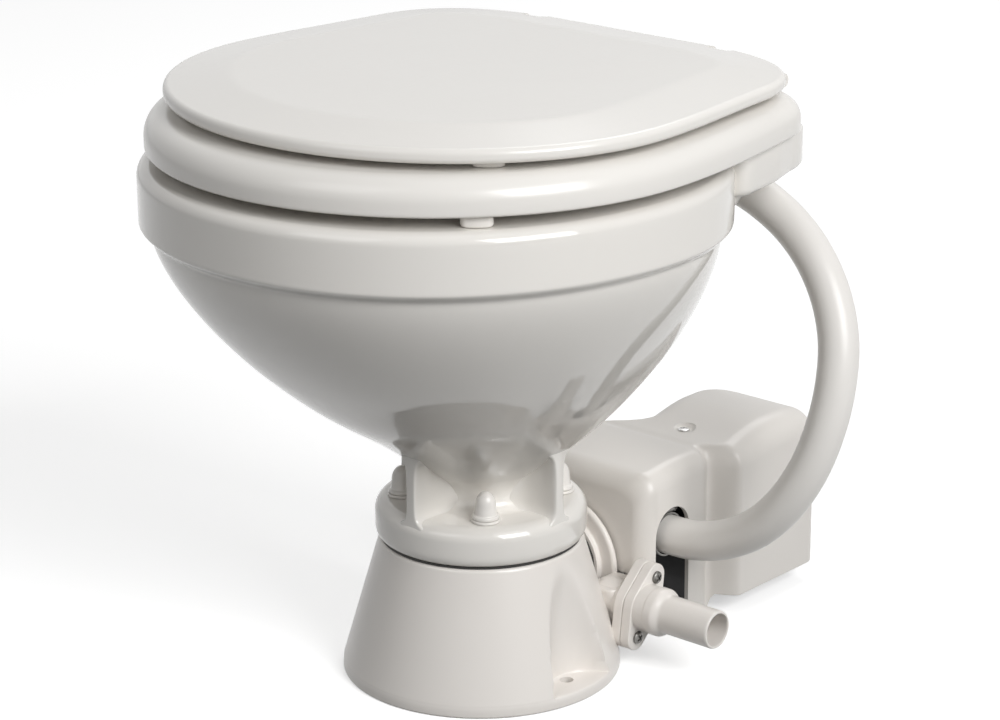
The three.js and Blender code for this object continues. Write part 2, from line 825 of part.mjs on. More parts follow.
function bowl() {
  const ribs = [0, 1, 2, 3].map((i) => solidFrom(bowlRib(i * (Math.PI / 2))));
  const inletBoss = alongY(rod(inletBossRadius, coneBack - bowlWall, inletBossY, smallSides), 0, inletZ);
  const outside = join(bowlOutside(), hingeDeck(), solidFrom(inletBoss), ...ribs);
  const studHoles = aroundStuds((x, y) => rod(
    studRadius + fitGap, bowlFoot - overrun, flangeTop + overrun, smallSides,
  ).translate(x, y, 0));
  const hingeHoles = [-1, 1].map((side) => rod(
    hingeShankRadius + fitGap, deckBottom - overrun, deckTop + overrun, tinySides,
  ).translate(side * hingePostX, hingeY + fitGap, 0));
  const inletHole = alongY(rod(
    inletBore + fitGap, coneBack - bowlWall - bowlWall - bowlWall, inletBossY + overrun, tinySides,
  ), 0, inletZ);
  return cut(outside, bowlInside(), ...[...studHoles, ...hingeHoles, inletHole].map(solidFrom));
}

// Studs, washers and domed cap nuts
function stud() {
  return rod(studRadius, pedestalHeight - studDepth, flangeTop + capNutHeight - capNutRadius, tinySides);
}

function washer() {
  return turnedRing(studRadius + fitGap, washerRadius, 0, washerThickness, smallSides);
}

function capNut() {
  const domeStart = capNutHeight - capNutRadius;
  const profile = [
    [0, domeStart], [studRadius + fitGap, domeStart], [studRadius + fitGap, 0], [capNutSkirt, 0],
    [capNutSkirt, capNutSkirtHeight], [capNutRadius, capNutSkirtHeight],
  ];
  for (const [inward, upward] of quarterShares(3)) {
    profile.push([capNutRadius * (1 - inward), domeStart + capNutRadius * upward]);
  }
  return turned(profile, tinySides);
}

// Shares of each run that the handles of the seat's and the lid's outline take
const sideHandleShare = 0.3;
const cornerHandleShare = 0.45;
const frontHandleShare = 0.55;
const acrossHandleShare = 0.55;

// How much the sides of the seat and of the lid lean in, per unit of length, where they reach the back corners
const seatLean = 0.21;
const lidLean = 0.12;

// Right half of the outline from the back to the front: back corner, side and front quarter
function seatPath({ half, front, backY, wideY, cornerHalf, cornerY, cornerRun, cornerCut, lean }) {
  const path = new THREE.Path();
  const sideRun = cornerY - wideY;
  const sideHandle = wideY + sideRun * sideHandleShare;
  const cornerHandle = sideRun * cornerHandleShare;
  const cornerX = cornerHalf - (backY - cornerCut - cornerY) * lean;
  path.moveTo(cornerHalf - cornerRun, backY);
  path.quadraticCurveTo(cornerX, backY - cornerCut, cornerHalf, cornerY);
  path.bezierCurveTo(
    cornerHalf + cornerHandle * lean, cornerY - cornerHandle, half, sideHandle, half, wideY,
  );
  path.bezierCurveTo(
    half, wideY - (front + wideY) * frontHandleShare, half * acrossHandleShare, -front, 0, -front,
  );
  return path;
}

// That half and its mirror image as one closed ring of points
function seatRing(size) {
  const right = seatPath(size).getSpacedPoints(seatSides / 2 - 1);
  const left = right.slice(0, -1).reverse().map((point) => new THREE.Vector2(-point.x, point.y));
  const back = new THREE.Vector2(0, size.backY);
  return [back, ...right, ...left].reverse().map((point) => new THREE.Vector3(point.x, point.y, 0));
}

function seatOutlineRing() {
  return seatRing({
    half: seatHalfWidth,
    front: seatFront,
    backY: seatBackY,
    wideY: seatWideY,
    cornerHalf: seatCornerHalf,
    cornerY: seatCornerY,
    cornerRun: seatCornerRun,
    cornerCut: 0,
    lean: seatLean,
  });
}

// The seat's hole, as points at the bearing of each outline point from the hole's middle
function seatHoleRing() {
  return seatOutlineRing().map((point) => {
    const angle = Math.atan2((point.y - seatHoleWideY) / seatHoleFront, point.x / seatHoleHalf);
    const reach = Math.sin(angle) > 0 ? seatHoleBackY - seatHoleWideY : seatHoleFront + seatHoleWideY;
    return new THREE.Vector3(seatHoleHalf * Math.cos(angle), seatHoleWideY + reach * Math.sin(angle), 0);
  });
}

function seat() {
  const outline = seatOutlineRing();
  const hole = seatHoleRing();
  const rings = [
    insetRing(outline, seatUnderRound, seatBottom),
    insetRing(outline, 0, seatBottom + seatUnderRound),
  ];
  const sideTop = seatTop - seatRound;
  for (const [inward, upward] of quarterShares(4)) {
    rings.push(insetRing(outline, seatRound * inward, sideTop + seatRound * upward));
  }
  for (const [inward, upward] of quarterShares(3).reverse()) {
    rings.push(insetRing(hole, -seatHoleRound * inward, seatTop - seatHoleRound * (1 - upward)));
  }
  rings.push(insetRing(hole, 0, seatBottom + seatUnderRound));
  rings.push(insetRing(hole, -seatUnderRound, seatBottom));
  return solidFrom(lofted(rings, true));
}

function lid() {
  const outline = seatRing({
    half: lidHalfWidth,
    front: lidFront,
    backY: lidBackY,
    wideY: lidWideY,
    cornerHalf: lidCornerHalf,
    cornerY: lidCornerY,
    cornerRun: lidCornerRun,
    cornerCut: lidCornerCut,
    lean: lidLean,
  });
  const plate = solidFrom(lofted([
    insetRing(outline, lidEdge, lidBottom),
    insetRing(outline, 0, lidBottom + lidEdge),
    insetRing(outline, 0, lidBottom + lidRimHeight - lidEdge),
    insetRing(outline, lidEdge, lidBottom + lidRimHeight),
    insetRing(outline, lidPanelInset - lidEdge, lidTop - lidEdge / 3),
    insetRing(outline, lidPanelInset, lidTop),
  ]));
  const notches = [-1, 1].map((side) => block(
    side * hingePostX - lidNotchWidth / 2, side * hingePostX + lidNotchWidth / 2,
    lidBackY - lidNotchDepth, lidBackY + overrun, lidBottom - overrun, lidTop + overrun,
  ));
  return cut(plate, ...notches.map(solidFrom));
}

// Bumper: a flat-sided pad with rounded ends
function bumper(height) {
  const half = bumperLength / 2 - bumperWidth / 2;
  const shape = new THREE.Shape();
  shape.absarc(half, 0, bumperWidth / 2, -Math.PI / 2, Math.PI / 2);
  shape.absarc(-half, 0, bumperWidth / 2, Math.PI / 2, -Math.PI / 2);
  const round = Math.min(bumperRound, height / 3);
  return new THREE.ExtrudeGeometry(shape, {
    depth: height - 2 * round,
    curveSegments: 4,
    bevelThickness: round,
    bevelSize: round,
    bevelOffset: -round,
    bevelSegments: 1,
  }).translate(0, 0, round);
}

// Hinge pieces of one side, drawn at the hinge axis with X along the pin
function pinHole(x0, x1) {
  return solidFrom(alongX(rod(hingePinRadius + runningFit, x0 - overrun, x1 + overrun, pinSides), 0, 0));
}

function hingePost() {
  const x0 = postInner;
  const x1 = postInner + hingePostWidth;
  const footZ = deckTop + fitGap - hingeZ;
  const eye = alongX(rod(knuckleRadius, x0, x1, smallSides), 0, 0);
  const column = block(x0, x1, -knuckleRadius, knuckleRadius, footZ, 0);
  const foot = block(
    x0 - hingeFootHeight, x1 + hingeFootHeight, -hingeFootLength / 2 + fitGap + fitGap, hingeFootLength / 2,
    footZ, footZ + hingeFootHeight,
  );
  const shank = rod(hingeShankRadius, footZ - hingeShankLength, footZ + overrun, tinySides)
    .translate(hingePostX, fitGap, 0);
  return cut(join(...[eye, column, foot, shank].map(solidFrom)), pinHole(x0, x1));
}

function hingeNut() {
  const grip = solidFrom(rod(hingeNutRadius, 0, hingeNutHeight, smallSides));
  const bore = solidFrom(rod(hingeShankRadius + fitGap, -overrun, hingeNutHeight + overrun, tinySides));
  const flutes = [0, 1, 2, 3, 4, 5].map((i) => solidFrom(rod(
    hingeShankRadius / 2, -overrun, hingeNutHeight + overrun, tinySides,
  ).translate(hingeNutRadius, 0, 0).rotateZ(i * (Math.PI / 3))));
  return cut(grip, bore, ...flutes);
}

function hingePin() {
  return alongX(rod(hingePinRadius, postInner, pinEnd, pinSides), 0, 0);
}

function seatHinge() {
  const x0 = seatKnuckleX;
  const x1 = seatKnuckleX + seatKnuckleWidth;
  const barrel = alongX(rod(knuckleRadius, x0, x1, smallSides), 0, 0);
  const leaf = block(x0, x1, seatBackY + fitGap - hingeY, 0, -seatLeafDrop, 0);
  return cut(join(solidFrom(barrel), solidFrom(leaf)), pinHole(x0, x1));
}

function lidHinge() {
  const x0 = lidKnuckleX;
  const x1 = pinEnd;
  const leafTop = lidBottom - fitGap - hingeZ;
  const barrel = alongX(rod(knuckleRadius, x0, x1, smallSides), 0, 0);
  const leaf = block(x0, x1, -lidLeafReach, 0, leafTop - lidLeafThickness, leafTop);
  return cut(join(solidFrom(barrel), solidFrom(leaf)), pinHole(x0, x1));
}

// Flush water inlet: seal, elbow and hose
function inletSeal() {
  return alongY(turnedRing(
    inletBore + fitGap, inletBossRadius - bowlWall / 3, inletBossY + fitGap,
    inletBossY + fitGap + inletSealThickness, smallSides,
  ), 0, inletZ);
}

function inletElbow() {
  const y0 = inletBossY + inletSealThickness + fitGap + fitGap;
  const hub = alongY(rod(inletElbowRadius, y0, inletElbowY, smallSides), 0, inletZ);
  const spout = alongY(rod(inletBore, coneBack - bowlWall - bowlWall, y0 + overrun, tinySides), 0, inletZ);
  const corner = new THREE.SphereGeometry(inletElbowRadius, smallSides, smallSides / 2)
    .translate(0, inletElbowY, inletZ);
  const barb = alongX(barbRod(0, inletBarbEnd), inletElbowY, inletZ);
  const bores = [
    alongY(rod(inletBore - inletSpoutWall, 0, inletElbowY, tinySides), 0, inletZ),
    alongX(rod(inletBore, 0, inletBarbEnd + overrun, tinySides), inletElbowY, inletZ),
  ];
  return cut(join(...[hub, spout, corner, barb].map(solidFrom)), ...bores.map(solidFrom));
}

// Hose barb along Z with two retaining ridges near its far end
function barbRod(start, end) {
  const ridge = flushBarbRadius / 9;
  const pitch = flushBarbRadius / 2;
  const way = Math.sign(end - start);
  const profile = [[0, start], [flushBarbRadius - ridge, start]];
  for (let i = 2; i > 0; i -= 1) {
    profile.push([flushBarbRadius, end - way * i * pitch]);
    profile.push([flushBarbRadius - ridge, end - way * (i - 1) * pitch]);
  }
  profile.push([0, end]);
  return turned(profile, smallSides);
}

function flushHose() {
  const wall = new THREE.Shape().absarc(0, 0, hoseRadius, 0, 2 * Math.PI);
  wall.holes.push(new THREE.Path().absarc(0, 0, hoseBore, 0, 2 * Math.PI, true));
  const route = new THREE.CatmullRomCurve3(hoseRoute.map((point) => new THREE.Vector3(...point)));
  return new THREE.ExtrudeGeometry(wall, { extrudePath: route, steps: hoseSteps, curveSegments: 6 });
}

function hoseClamp() {
  const inside = hoseRadius + clampFit;
  const band = turnedRing(inside, inside + clampThickness, 0, clampWidth, innerSides);
  const screw = rod(clampScrewRadius, -clampScrewLength / 2, clampScrewLength / 2, tinySides)
    .rotateY(Math.PI / 2).translate(0, inside + clampScrewRadius, clampWidth / 2);
  const keep = rod(inside, -overrun, clampWidth + overrun, innerSides);
  return cut(join(solidFrom(band), solidFrom(screw)), solidFrom(keep));
}

// Pump housing with its discharge elbow and the fixed outlet flange
function diamondFlange(x0, x1) {
  const shape = new THREE.Shape();
  const lean = Math.atan2(outletScrewY, outletScrewZ);
  const reach = Math.hypot(outletScrewY, outletScrewZ);
  const tilt = Math.acos((spigotBodyRadius - outletLobe) / reach);
  shape.absarc(0, 0, spigotBodyRadius, tilt - Math.PI / 2, Math.PI / 2 - tilt, false);
  shape.absarc(0, reach, outletLobe, Math.PI / 2 - tilt, Math.PI / 2 + tilt, false);
  shape.absarc(0, 0, spigotBodyRadius, Math.PI / 2 + tilt, Math.PI / 2 * 3 - tilt, false);
  shape.absarc(0, -reach, outletLobe, Math.PI / 2 * 3 - tilt, Math.PI / 2 * 3 + tilt, false);
  const plate = new THREE.ExtrudeGeometry(shape, { depth: x1 - x0, bevelEnabled: false, curveSegments: 5 });
  return plate.rotateZ(-lean).rotateX(Math.PI / 2).rotateZ(Math.PI / 2)
    .translate(x0, outletY, outletZ);
}

function outletScrewHoles(x0, x1) {
  return [-1, 1].map((side) => solidFrom(alongX(
    rod(outletScrewRadius + fitGap, x0, x1, tinySides),
    outletY + side * outletScrewY, outletZ + side * outletScrewZ,
  )));
}

function elbowBlock() {
  const shape = new THREE.Shape();
  const x0 = elbowX - elbowHalf - elbowRound;
  const x1 = elbowX + elbowHalf / 2;
  shape.moveTo(x0, outletY - elbowHalf);
  shape.lineTo(x1, outletY - elbowHalf);
  shape.lineTo(x1, discBackY);
  shape.lineTo(x0, discBackY);
  return new THREE.ExtrudeGeometry(shape, {
    depth: elbowTopZ - elbowFloorZ - 2 * elbowRound,
    bevelThickness: elbowRound,
    bevelSize: elbowRound,
    bevelOffset: -elbowRound,
    bevelSegments: 2,
  }).translate(0, 0, elbowFloorZ + elbowRound);
}

function pumpHousing() {
  const body = [
    alongY(rod(hubRadius, housingStartY, discY + overrun), 0, pumpInletZ),
    alongY(rod(discRadius, discY, discBackY, bowlSides), 0, pumpInletZ),
    alongY(rod(housingNeckRadius, discY, chamberY + overrun), 0, pumpInletZ),
    alongY(rod(housingNeckRadius, chamberY, chamberEndY), 0, pumpInletZ),
    alongY(rod(chamberRadius + chamberWall, chamberY, chamberEndY, innerSides), shaftX, shaftZ),
    alongY(rod(ductRadius, outletY, chamberEndY, smallSides), elbowX, ductZ),
    alongX(rod(outletNeckRadius, elbowX - elbowHalf, outletFlangeX + overrun), outletY, outletZ),
    elbowBlock(),
    diamondFlange(outletFlangeX, flangeJointX),
  ];
  const link = new THREE.Vector2(elbowX - shaftX, ductZ - shaftZ);
  const hollows = [
    alongY(rod(pumpInletRadius, hubFaceY, chamberEndY - chamberFrontWall, innerSides), 0, pumpInletZ),
    alongY(rod(chamberRadius, chamberFloorY, chamberEndY + overrun, innerSides), shaftX, shaftZ),
    alongY(rod(outletBore, outletY, chamberEndY - chamberFrontWall, smallSides), elbowX, ductZ),
    alongX(rod(outletBore, elbowX, flangeJointX + overrun, smallSides), outletY, outletZ),
    rod(linkBore, 0, link.length(), tinySides).rotateY(Math.atan2(link.x, link.y))
      .translate(shaftX, chamberFloorY + linkBore, shaftZ),
  ];
  const linkTube = rod(linkBore + linkWall, 0, link.length(), tinySides)
    .rotateY(Math.atan2(link.x, link.y)).translate(shaftX, chamberFloorY + linkBore, shaftZ);
  const cone = solidFrom(turned(pedestalProfile(fitGap), bowlSides));
  const pedestalRoom = cut(cone, hubRecess(hubRecessRadius - fitGap, hubFaceY + fitGap));
  const walls = cut(join(...[...body, linkTube].map(solidFrom)), pedestalRoom);
  return cut(
    walls, ...hollows.map(solidFrom),
    ...outletScrewHoles(flangeJointX - outletScrewBite, flangeJointX + overrun),
  );
}

function soilSeal() {
  const y0 = hubFaceY + fitGap;
  const ring = turnedRing(pumpInletRadius, soilSealRadius, y0, y0 + soilSealThickness, innerSides);
  return alongY(ring, 0, pumpInletZ);
}

function outletSpigot() {
  const shoulder = outletFaceX + spigotBodyLength;
  const tip = shoulder + spigotStep + spigotTipLength;
  const barrel = turned([
    [0, spigotX], [spigotBodyRadius, spigotX], [spigotBodyRadius, shoulder],
    [spigotTipRadius, shoulder + spigotStep], [spigotTipRadius, tip - spigotLipRound],
    [spigotLipRadius, tip], [0, tip],
  ]);
  const seatX = spigotX + outletFlangeThickness / 2;
  const bore = turned([
    [0, spigotX - overrun], [jokerFlange + fitGap, spigotX - overrun], [jokerFlange + fitGap, seatX],
    [jokerRadius + fitGap, seatX], [jokerRadius + fitGap, shoulder - spigotStep], [spigotBore, shoulder],
    [spigotBore, tip + overrun], [0, tip + overrun],
  ]);
  const body = join(
    solidFrom(alongX(barrel, outletY, outletZ)),
    solidFrom(diamondFlange(spigotX, outletFaceX)),
  );
  const screwHoles = outletScrewHoles(spigotX - overrun, outletFaceX + overrun);
  return cut(body, solidFrom(alongX(bore, outletY, outletZ)), ...screwHoles);
}

// One-way valve: a rubber tube that closes to a slit
function jokerValve() {
  const x0 = flangeJointX + fitGap;
  const collar = outletFlangeThickness / 2 - fitGap;
  const wallShare = 0.86;
  const flatShare = 0.8;
  const flatStartShare = 0.45;
  const skin = (scale) => [
    [jokerRadius, jokerRadius, collar], [jokerRadius, jokerRadius * flatShare, jokerLength * flatStartShare],
    [jokerRadius, jokerSlit, jokerLength],
  ].map(([wide, thick, z]) => ovalRing(wide * scale, thick * scale, thick * scale, 0, z, 2, smallSides));
  const flat = ovalRing(jokerFlange, jokerFlange, jokerFlange, 0, 0, 2, smallSides);
  const outer = [flat, flat.map((p) => p.clone().setZ(collar)), ...skin(1)];
  const inner = skin(wallShare).reverse();
  inner.push(ovalRing(outletBore, outletBore, outletBore, 0, 0, 2, smallSides));
  return lofted([...outer, ...inner], true).rotateY(Math.PI / 2).translate(x0, outletY, outletZ);
}

function outletScrew() {
  const shank = outletFlangeThickness + outletScrewBite;
  return turned([
    [0, -shank], [outletScrewRadius, -shank], [outletScrewRadius, fitGap], [outletHeadRadius, fitGap],
    [outletHeadRadius, outletHeadHeight / 2], [outletHeadRadius / 2, outletHeadHeight], [0, outletHeadHeight],
  ], smallSides);
}

// Macerator and both pumps on the shaft
function cutter() {
  const hub = solidFrom(rod(shaftRadius + hubWall, 0, chamberDepth / 3, smallSides));
  const blades = [0, 1, 2, 3].map((i) => solidFrom(block(
    0, chamberRadius - impellerPlay, -bladeThickness / 2, bladeThickness / 2, 0, chamberDepth / 4,
  ).rotateZ(i * (Math.PI / 2))));
  const bore = solidFrom(rod(shaftRadius + fitGap, -overrun, chamberDepth, smallSides));
  return cut(join(hub, ...blades), bore);
}

function dischargeImpeller() {
  const back = solidFrom(rod(chamberRadius - impellerPlay, chamberDepth / 3, chamberDepth / 2, innerSides));
  const hub = solidFrom(rod(shaftRadius + hubWall, 0, chamberDepth / 2, smallSides));
  const vanes = [0, 1, 2, 3, 4].map((i) => solidFrom(block(
    shaftRadius, chamberRadius - impellerPlay - impellerPlay, -bladeThickness / 2, bladeThickness / 2,
    0, chamberDepth / 2,
  ).rotateZ(i * (2 * Math.PI / 5))));
  const bore = solidFrom(rod(shaftRadius + fitGap, -overrun, chamberDepth, smallSides));
  return cut(join(back, hub, ...vanes), bore);
}

function pumpEndPlate() {
  const y1 = endPlateY + endPlateThickness;
  const plate = join(
    solidFrom(alongY(rod(chamberRadius + chamberWall, endPlateY, y1, innerSides), shaftX, shaftZ)),
    solidFrom(alongY(rod(housingNeckRadius, endPlateY, y1, innerSides), 0, pumpInletZ)),
  );
  const keep = rod(shaftRadius + sealBoss + fitGap, endPlateY - overrun, y1 + overrun, smallSides);
  return cut(plate, solidFrom(alongY(keep, shaftX, shaftZ)));
}

function shaftSeal() {
  return alongY(turnedRing(
    shaftRadius + fitGap, shaftRadius + sealBoss, endPlateY, endPlateY + endPlateThickness, smallSides,
  ), shaftX, shaftZ);
}

function flushPumpBody() {
  const y1 = flushPumpY + flushPumpLength;
  const barrel = alongY(rod(flushPumpRadius, flushPumpY, y1, innerSides), shaftX, shaftZ);
  const outPort = alongX(barbRod(shaftX, flushBarbEnd), flushPortY, flushPortZ);
  const inPort = alongX(barbRod(shaftX, supplyBarbEnd), flushPortY, flushPortZ);
  const inside = flushPumpRadius - flushPumpWall;
  const ports = rod(flushBarbBore, supplyBarbEnd - overrun, flushBarbEnd + overrun, smallSides);
  const hollows = [
    alongY(rod(inside, flushPumpY + flushPumpWall, y1 + overrun, innerSides), shaftX, shaftZ),
    alongY(rod(shaftRadius + fitGap, flushPumpY - overrun, y1, smallSides), shaftX, shaftZ),
    alongX(ports, flushPortY, flushPortZ),
  ];
  return cut(join(...[barrel, outPort, inPort].map(solidFrom)), ...hollows.map(solidFrom));
}

function flushImpeller() {
  const length = flushPumpLength - flushPumpWall - fitGap - fitGap;
  const hub = solidFrom(rod(shaftRadius + flushPumpWall, 0, length, smallSides));
  const reach = flushPumpRadius - flushPumpWall - fitGap;
  const vanes = [0, 1, 2, 3, 4, 5].map((i) => solidFrom(block(
    shaftRadius, reach, -bladeThickness / 2, bladeThickness / 2, 0, length,
  ).rotateZ(i * (Math.PI / 3))));
  const bore = solidFrom(rod(shaftRadius + fitGap, -overrun, length + overrun, smallSides));
  return cut(join(hub, ...vanes), bore);
}

function flushPumpCover() {
  const plateEnd = pumpCoverY + pumpCoverThickness;
  const profile = [
    [shaftRadius + fitGap, pumpCoverY], [flushPumpRadius, pumpCoverY], [flushPumpRadius, plateEnd],
    [adapterRadius, plateEnd], [adapterRadius, adapterEnd], [adapterRadius - coverWall, adapterEnd],
    [adapterRadius - coverWall, plateEnd], [shaftRadius + fitGap, plateEnd],
    [shaftRadius + fitGap, pumpCoverY],
  ];
  return alongY(turned(profile, innerSides), shaftX, shaftZ);
}

function motorBracket() {
  const y1 = bracketY + bracketThickness;
  const plate = block(shaftX - bracketHalf, shaftX + bracketHalf - bracketThickness, bracketY, y1, 0, shaftZ);
  const collar = alongY(rod(bracketHalf, bracketY, y1, innerSides), shaftX, shaftZ);
  const foot = block(
    shaftX - bracketHalf, shaftX + bracketHalf - bracketThickness, bracketY - bracketFoot, y1,
    0, bracketThickness,
  );
  const window = rod(shaftRadius + sealBoss, bracketY - overrun, y1 + overrun, smallSides);
  const inCover = block(
    -coverHalfWidth, coverHalfWidth - coverWall - fitGap, bracketY - bracketFoot, y1, 0, coverFrontTop,
  );
  const whole = join(...[plate, collar, foot].map(solidFrom)).intersect(solidFrom(inCover));
  return cut(whole, solidFrom(alongY(window, shaftX, shaftZ)));
}

function motorCasing() {
  const y1 = motorY + motorLength;
  const noseEnd = motorY + motorNoseLength;
  const tube = turned([
    [shaftRadius + fitGap, motorY], [motorNoseRadius, motorY], [motorNoseRadius, noseEnd],
    [motorRadius, noseEnd + motorTaper], [motorRadius, y1], [motorRadius - motorWall, y1],
    [motorRadius - motorWall, noseEnd + motorTaper + motorWall],
    [motorNoseRadius - motorWall, noseEnd + motorWall],
    [motorNoseRadius - motorWall, motorY + motorFrontLength],
    [shaftRadius + fitGap, motorY + motorFrontLength], [shaftRadius + fitGap, motorY],
  ], innerSides);
  const casingTop = shaftZ + motorRadius;
  const screwHole = rod(
    coverScrewRadius + fitGap, casingTop - motorWall - overrun, casingTop + overrun, tinySides,
  ).translate(coverScrewX, coverScrewY, 0);
  return cut(solidFrom(alongY(tube, shaftX, shaftZ)), solidFrom(screwHole));
}

function motorEndCap() {
  const y1 = motorCapY + endCapLength;
  const cap = turned([
    [0, motorCapY], [motorRadius, motorCapY], [motorRadius, y1 - motorWall], [motorRadius - motorWall, y1],
    [0, y1],
  ], innerSides);
  const bearing = rod(shaftRadius + fitGap, motorCapY - overrun, motorCapY + endCapLength / 2, smallSides);
  const cableHole = rod(glandBore, motorCapY - overrun, y1 + overrun, tinySides)
    .translate(0, motorRadius / 2, 0);
  return cut(
    solidFrom(alongY(cap, shaftX, shaftZ)), solidFrom(alongY(bearing, shaftX, shaftZ)),
    solidFrom(alongY(cableHole, shaftX, shaftZ)),
  );
}

function cableGland() {
  return turnedRing(glandBore, glandRadius, 0, glandLength, 6);
}

function motorShaft() {
  const coreStart = motorY + motorNoseLength + motorTaper;
  const coreEnd = coreStart + armatureLength;
  return turned([
    [0, chamberFloorY + fitGap], [shaftRadius, chamberFloorY + fitGap], [shaftRadius, coreStart],
    [armatureRadius, coreStart], [armatureRadius, coreEnd], [shaftRadius, coreEnd],
    [shaftRadius, motorCapY + endCapLength / 2 - fitGap], [0, motorCapY + endCapLength / 2 - fitGap],
  ], smallSides);
}

// Motor cover
function roundedBox(x0, x1, y0, y1, corner, count) {
  const shape = new THREE.Path();
  shape.moveTo((x0 + x1) / 2, y0);
  shape.lineTo(x1 - corner, y0);
  shape.absarc(x1 - corner, y0 + corner, corner, -Math.PI / 2, 0);
  shape.lineTo(x1, y1 - corner);
  shape.absarc(x1 - corner, y1 - corner, corner, 0, Math.PI / 2);
  shape.lineTo(x0 + corner, y1);
  shape.absarc(x0 + corner, y1 - corner, corner, Math.PI / 2, Math.PI);
  shape.lineTo(x0, y0 + corner);
  shape.absarc(x0 + corner, y0 + corner, corner, Math.PI, Math.PI * 1.5);
  shape.closePath();
  const points = [];
  for (const curve of shape.curves) {
    const steps = curve.type === 'LineCurve' ? 1 : count;
    for (let i = 0; i < steps; i += 1) points.push(curve.getPoint(i / steps));
  }
  return points.map((point) => new THREE.Vector3(point.x, point.y, 0));
}

// Front section: a box with rounded corners and a rounded top edge, drawn smaller by a wall for its inside
function coverFrontBlock(wall) {
  const outline = roundedBox(
    wall - coverHalfWidth, coverHalfWidth - wall, coverFrontY + wall, coverSplitY - wall,
    coverCorner - wall, 3,
  );
  const bottom = wall > 0 ? -overrun : coverFloorGap;
  const top = coverFrontTop - wall;
  const round = coverTopRound - wall;
  const rings = [insetRing(outline, 0, bottom)];
  for (const [inward, upward] of quarterShares(3)) {
    rings.push(insetRing(outline, round * inward, top - round * (1 - upward)));
  }
  return solidFrom(lofted(rings));
}

// Section across the rear part at one place along Y, in X and Z
function rearSection(y, wall, shrink) {
  const side = THREE.MathUtils.smoothstep(y, coverBlendStart, coverBlendStart + coverBlendRun);
  const rise = THREE.MathUtils.smoothstep(y, coverBlendStart, coverBlendStart + coverRiseRun);
  const left = coverRearLeft + wall + shrink + (1 - side) * coverTopRound / 2;
  const right = coverRearRight - wall - shrink
    - (1 - side) * (coverRearRight - coverHalfWidth + coverSeamInset);
  const top = coverRearTop - wall - shrink
    - (1 - rise) * (coverRearTop - coverFrontTop + coverSeamInset / 2);
  const bottom = wall > 0 ? -overrun : coverRearBottom;
  const corner = Math.max(coverRearRound - wall - shrink / 2, coverWall);
  const points = [new THREE.Vector3(right, y, bottom), new THREE.Vector3(left, y, bottom)];
  for (const [inward, upward] of quarterShares(3)) {
    points.push(new THREE.Vector3(left + corner * inward, y, top - corner * (1 - upward)));
  }
  for (const [inward, upward] of quarterShares(3).reverse()) {
    points.push(new THREE.Vector3(right - corner * inward, y, top - corner * (1 - upward)));
  }
  return points;
}

const coverStationShares = [0, 0.125, 0.25, 0.375, 0.5, 0.75, 1];

function coverRearBlock(wall) {
  const back = coverRearBack - wall;
  const round = coverRearRound - wall;
  const stations = coverStationShares.map((share) => coverBlendStart + coverRiseRun * share);
  const sections = stations.map((y) => rearSection(y, wall, 0));
  for (const [inward, upward] of quarterShares(3)) {
    sections.push(rearSection(back - round * (1 - upward), wall, round * inward));
  }
  return solidFrom(lofted(sections));
}

function hoseSlot(side) {
  const shape = new THREE.Shape();
  const springZ = slotTop - slotRadius;
  shape.moveTo(-slotRadius, -overrun);
  shape.lineTo(slotRadius, -overrun);
  shape.absarc(0, springZ, slotRadius, 0, Math.PI);
  const plug = new THREE.ExtrudeGeometry(shape, {
    depth: 2 * coverCorner,
    bevelEnabled: false,
    curveSegments: 6,
  });
  plug.rotateX(Math.PI / 2).rotateZ(Math.PI / 2);
  return plug.translate(side * coverHalfWidth - coverCorner, slotY, 0);
}

const dimpleFloorShare = 0.7;

function motorCover() {
  const outside = join(coverFrontBlock(0), coverRearBlock(0));
  const inside = join(coverFrontBlock(coverWall), coverRearBlock(coverWall));
  const seatZ = shaftZ + motorRadius + fitGap;
  const boss = solidFrom(rod(coverBossRadius, seatZ, coverRearTop, smallSides)
    .translate(coverScrewX, coverScrewY, 0)).intersect(outside);
  const motorRoom = solidFrom(alongY(rod(motorRadius + fitGap, motorY - overrun, motorCapY), shaftX, shaftZ));
  const shell = join(cut(outside, inside), cut(boss, motorRoom));
  const neckCut = alongY(rod(
    housingNeckRadius + coverNeckPlay, coverFrontY - overrun, coverFrontY + coverWall + overrun,
  ), 0, pumpInletZ);
  const lowCut = block(
    -coverHalfWidth - overrun, coverHalfWidth + overrun, coverFrontY - overrun, slotY,
    -overrun, coverFrontCut,
  );
  const screwTop = coverFrontTop + coverScrewRise;
  const dimple = turned([
    [0, screwTop - coverDimpleDepth], [coverDimpleRadius * dimpleFloorShare, screwTop - coverDimpleDepth],
    [coverDimpleRadius, screwTop + coverRearTop - coverFrontTop],
    [0, screwTop + coverRearTop - coverFrontTop],
  ], smallSides).translate(coverScrewX, coverScrewY, 0);
  const screwHole = rod(coverScrewRadius + fitGap, shaftZ, coverRearTop + overrun, tinySides)
    .translate(coverScrewX, coverScrewY, 0);
  return cut(shell, ...[neckCut, lowCut, hoseSlot(1), hoseSlot(-1), dimple, screwHole].map(solidFrom));
}

function coverScrew() {
  const screwTop = coverFrontTop + coverScrewRise;
  const shankEnd = shaftZ + motorRadius - motorWall - (screwTop - coverDimpleDepth);
  return turned([
    [0, shankEnd], [coverScrewRadius, shankEnd], [coverScrewRadius, fitGap], [coverScrewHead, fitGap],
    [coverScrewHead, coverScrewRadius / 2 + fitGap], [coverScrewHead / 2, coverScrewRadius],
    [0, coverScrewRadius],
  ], smallSides);
}

// The assembly: every piece in its place
const toilet = new THREE.Group();

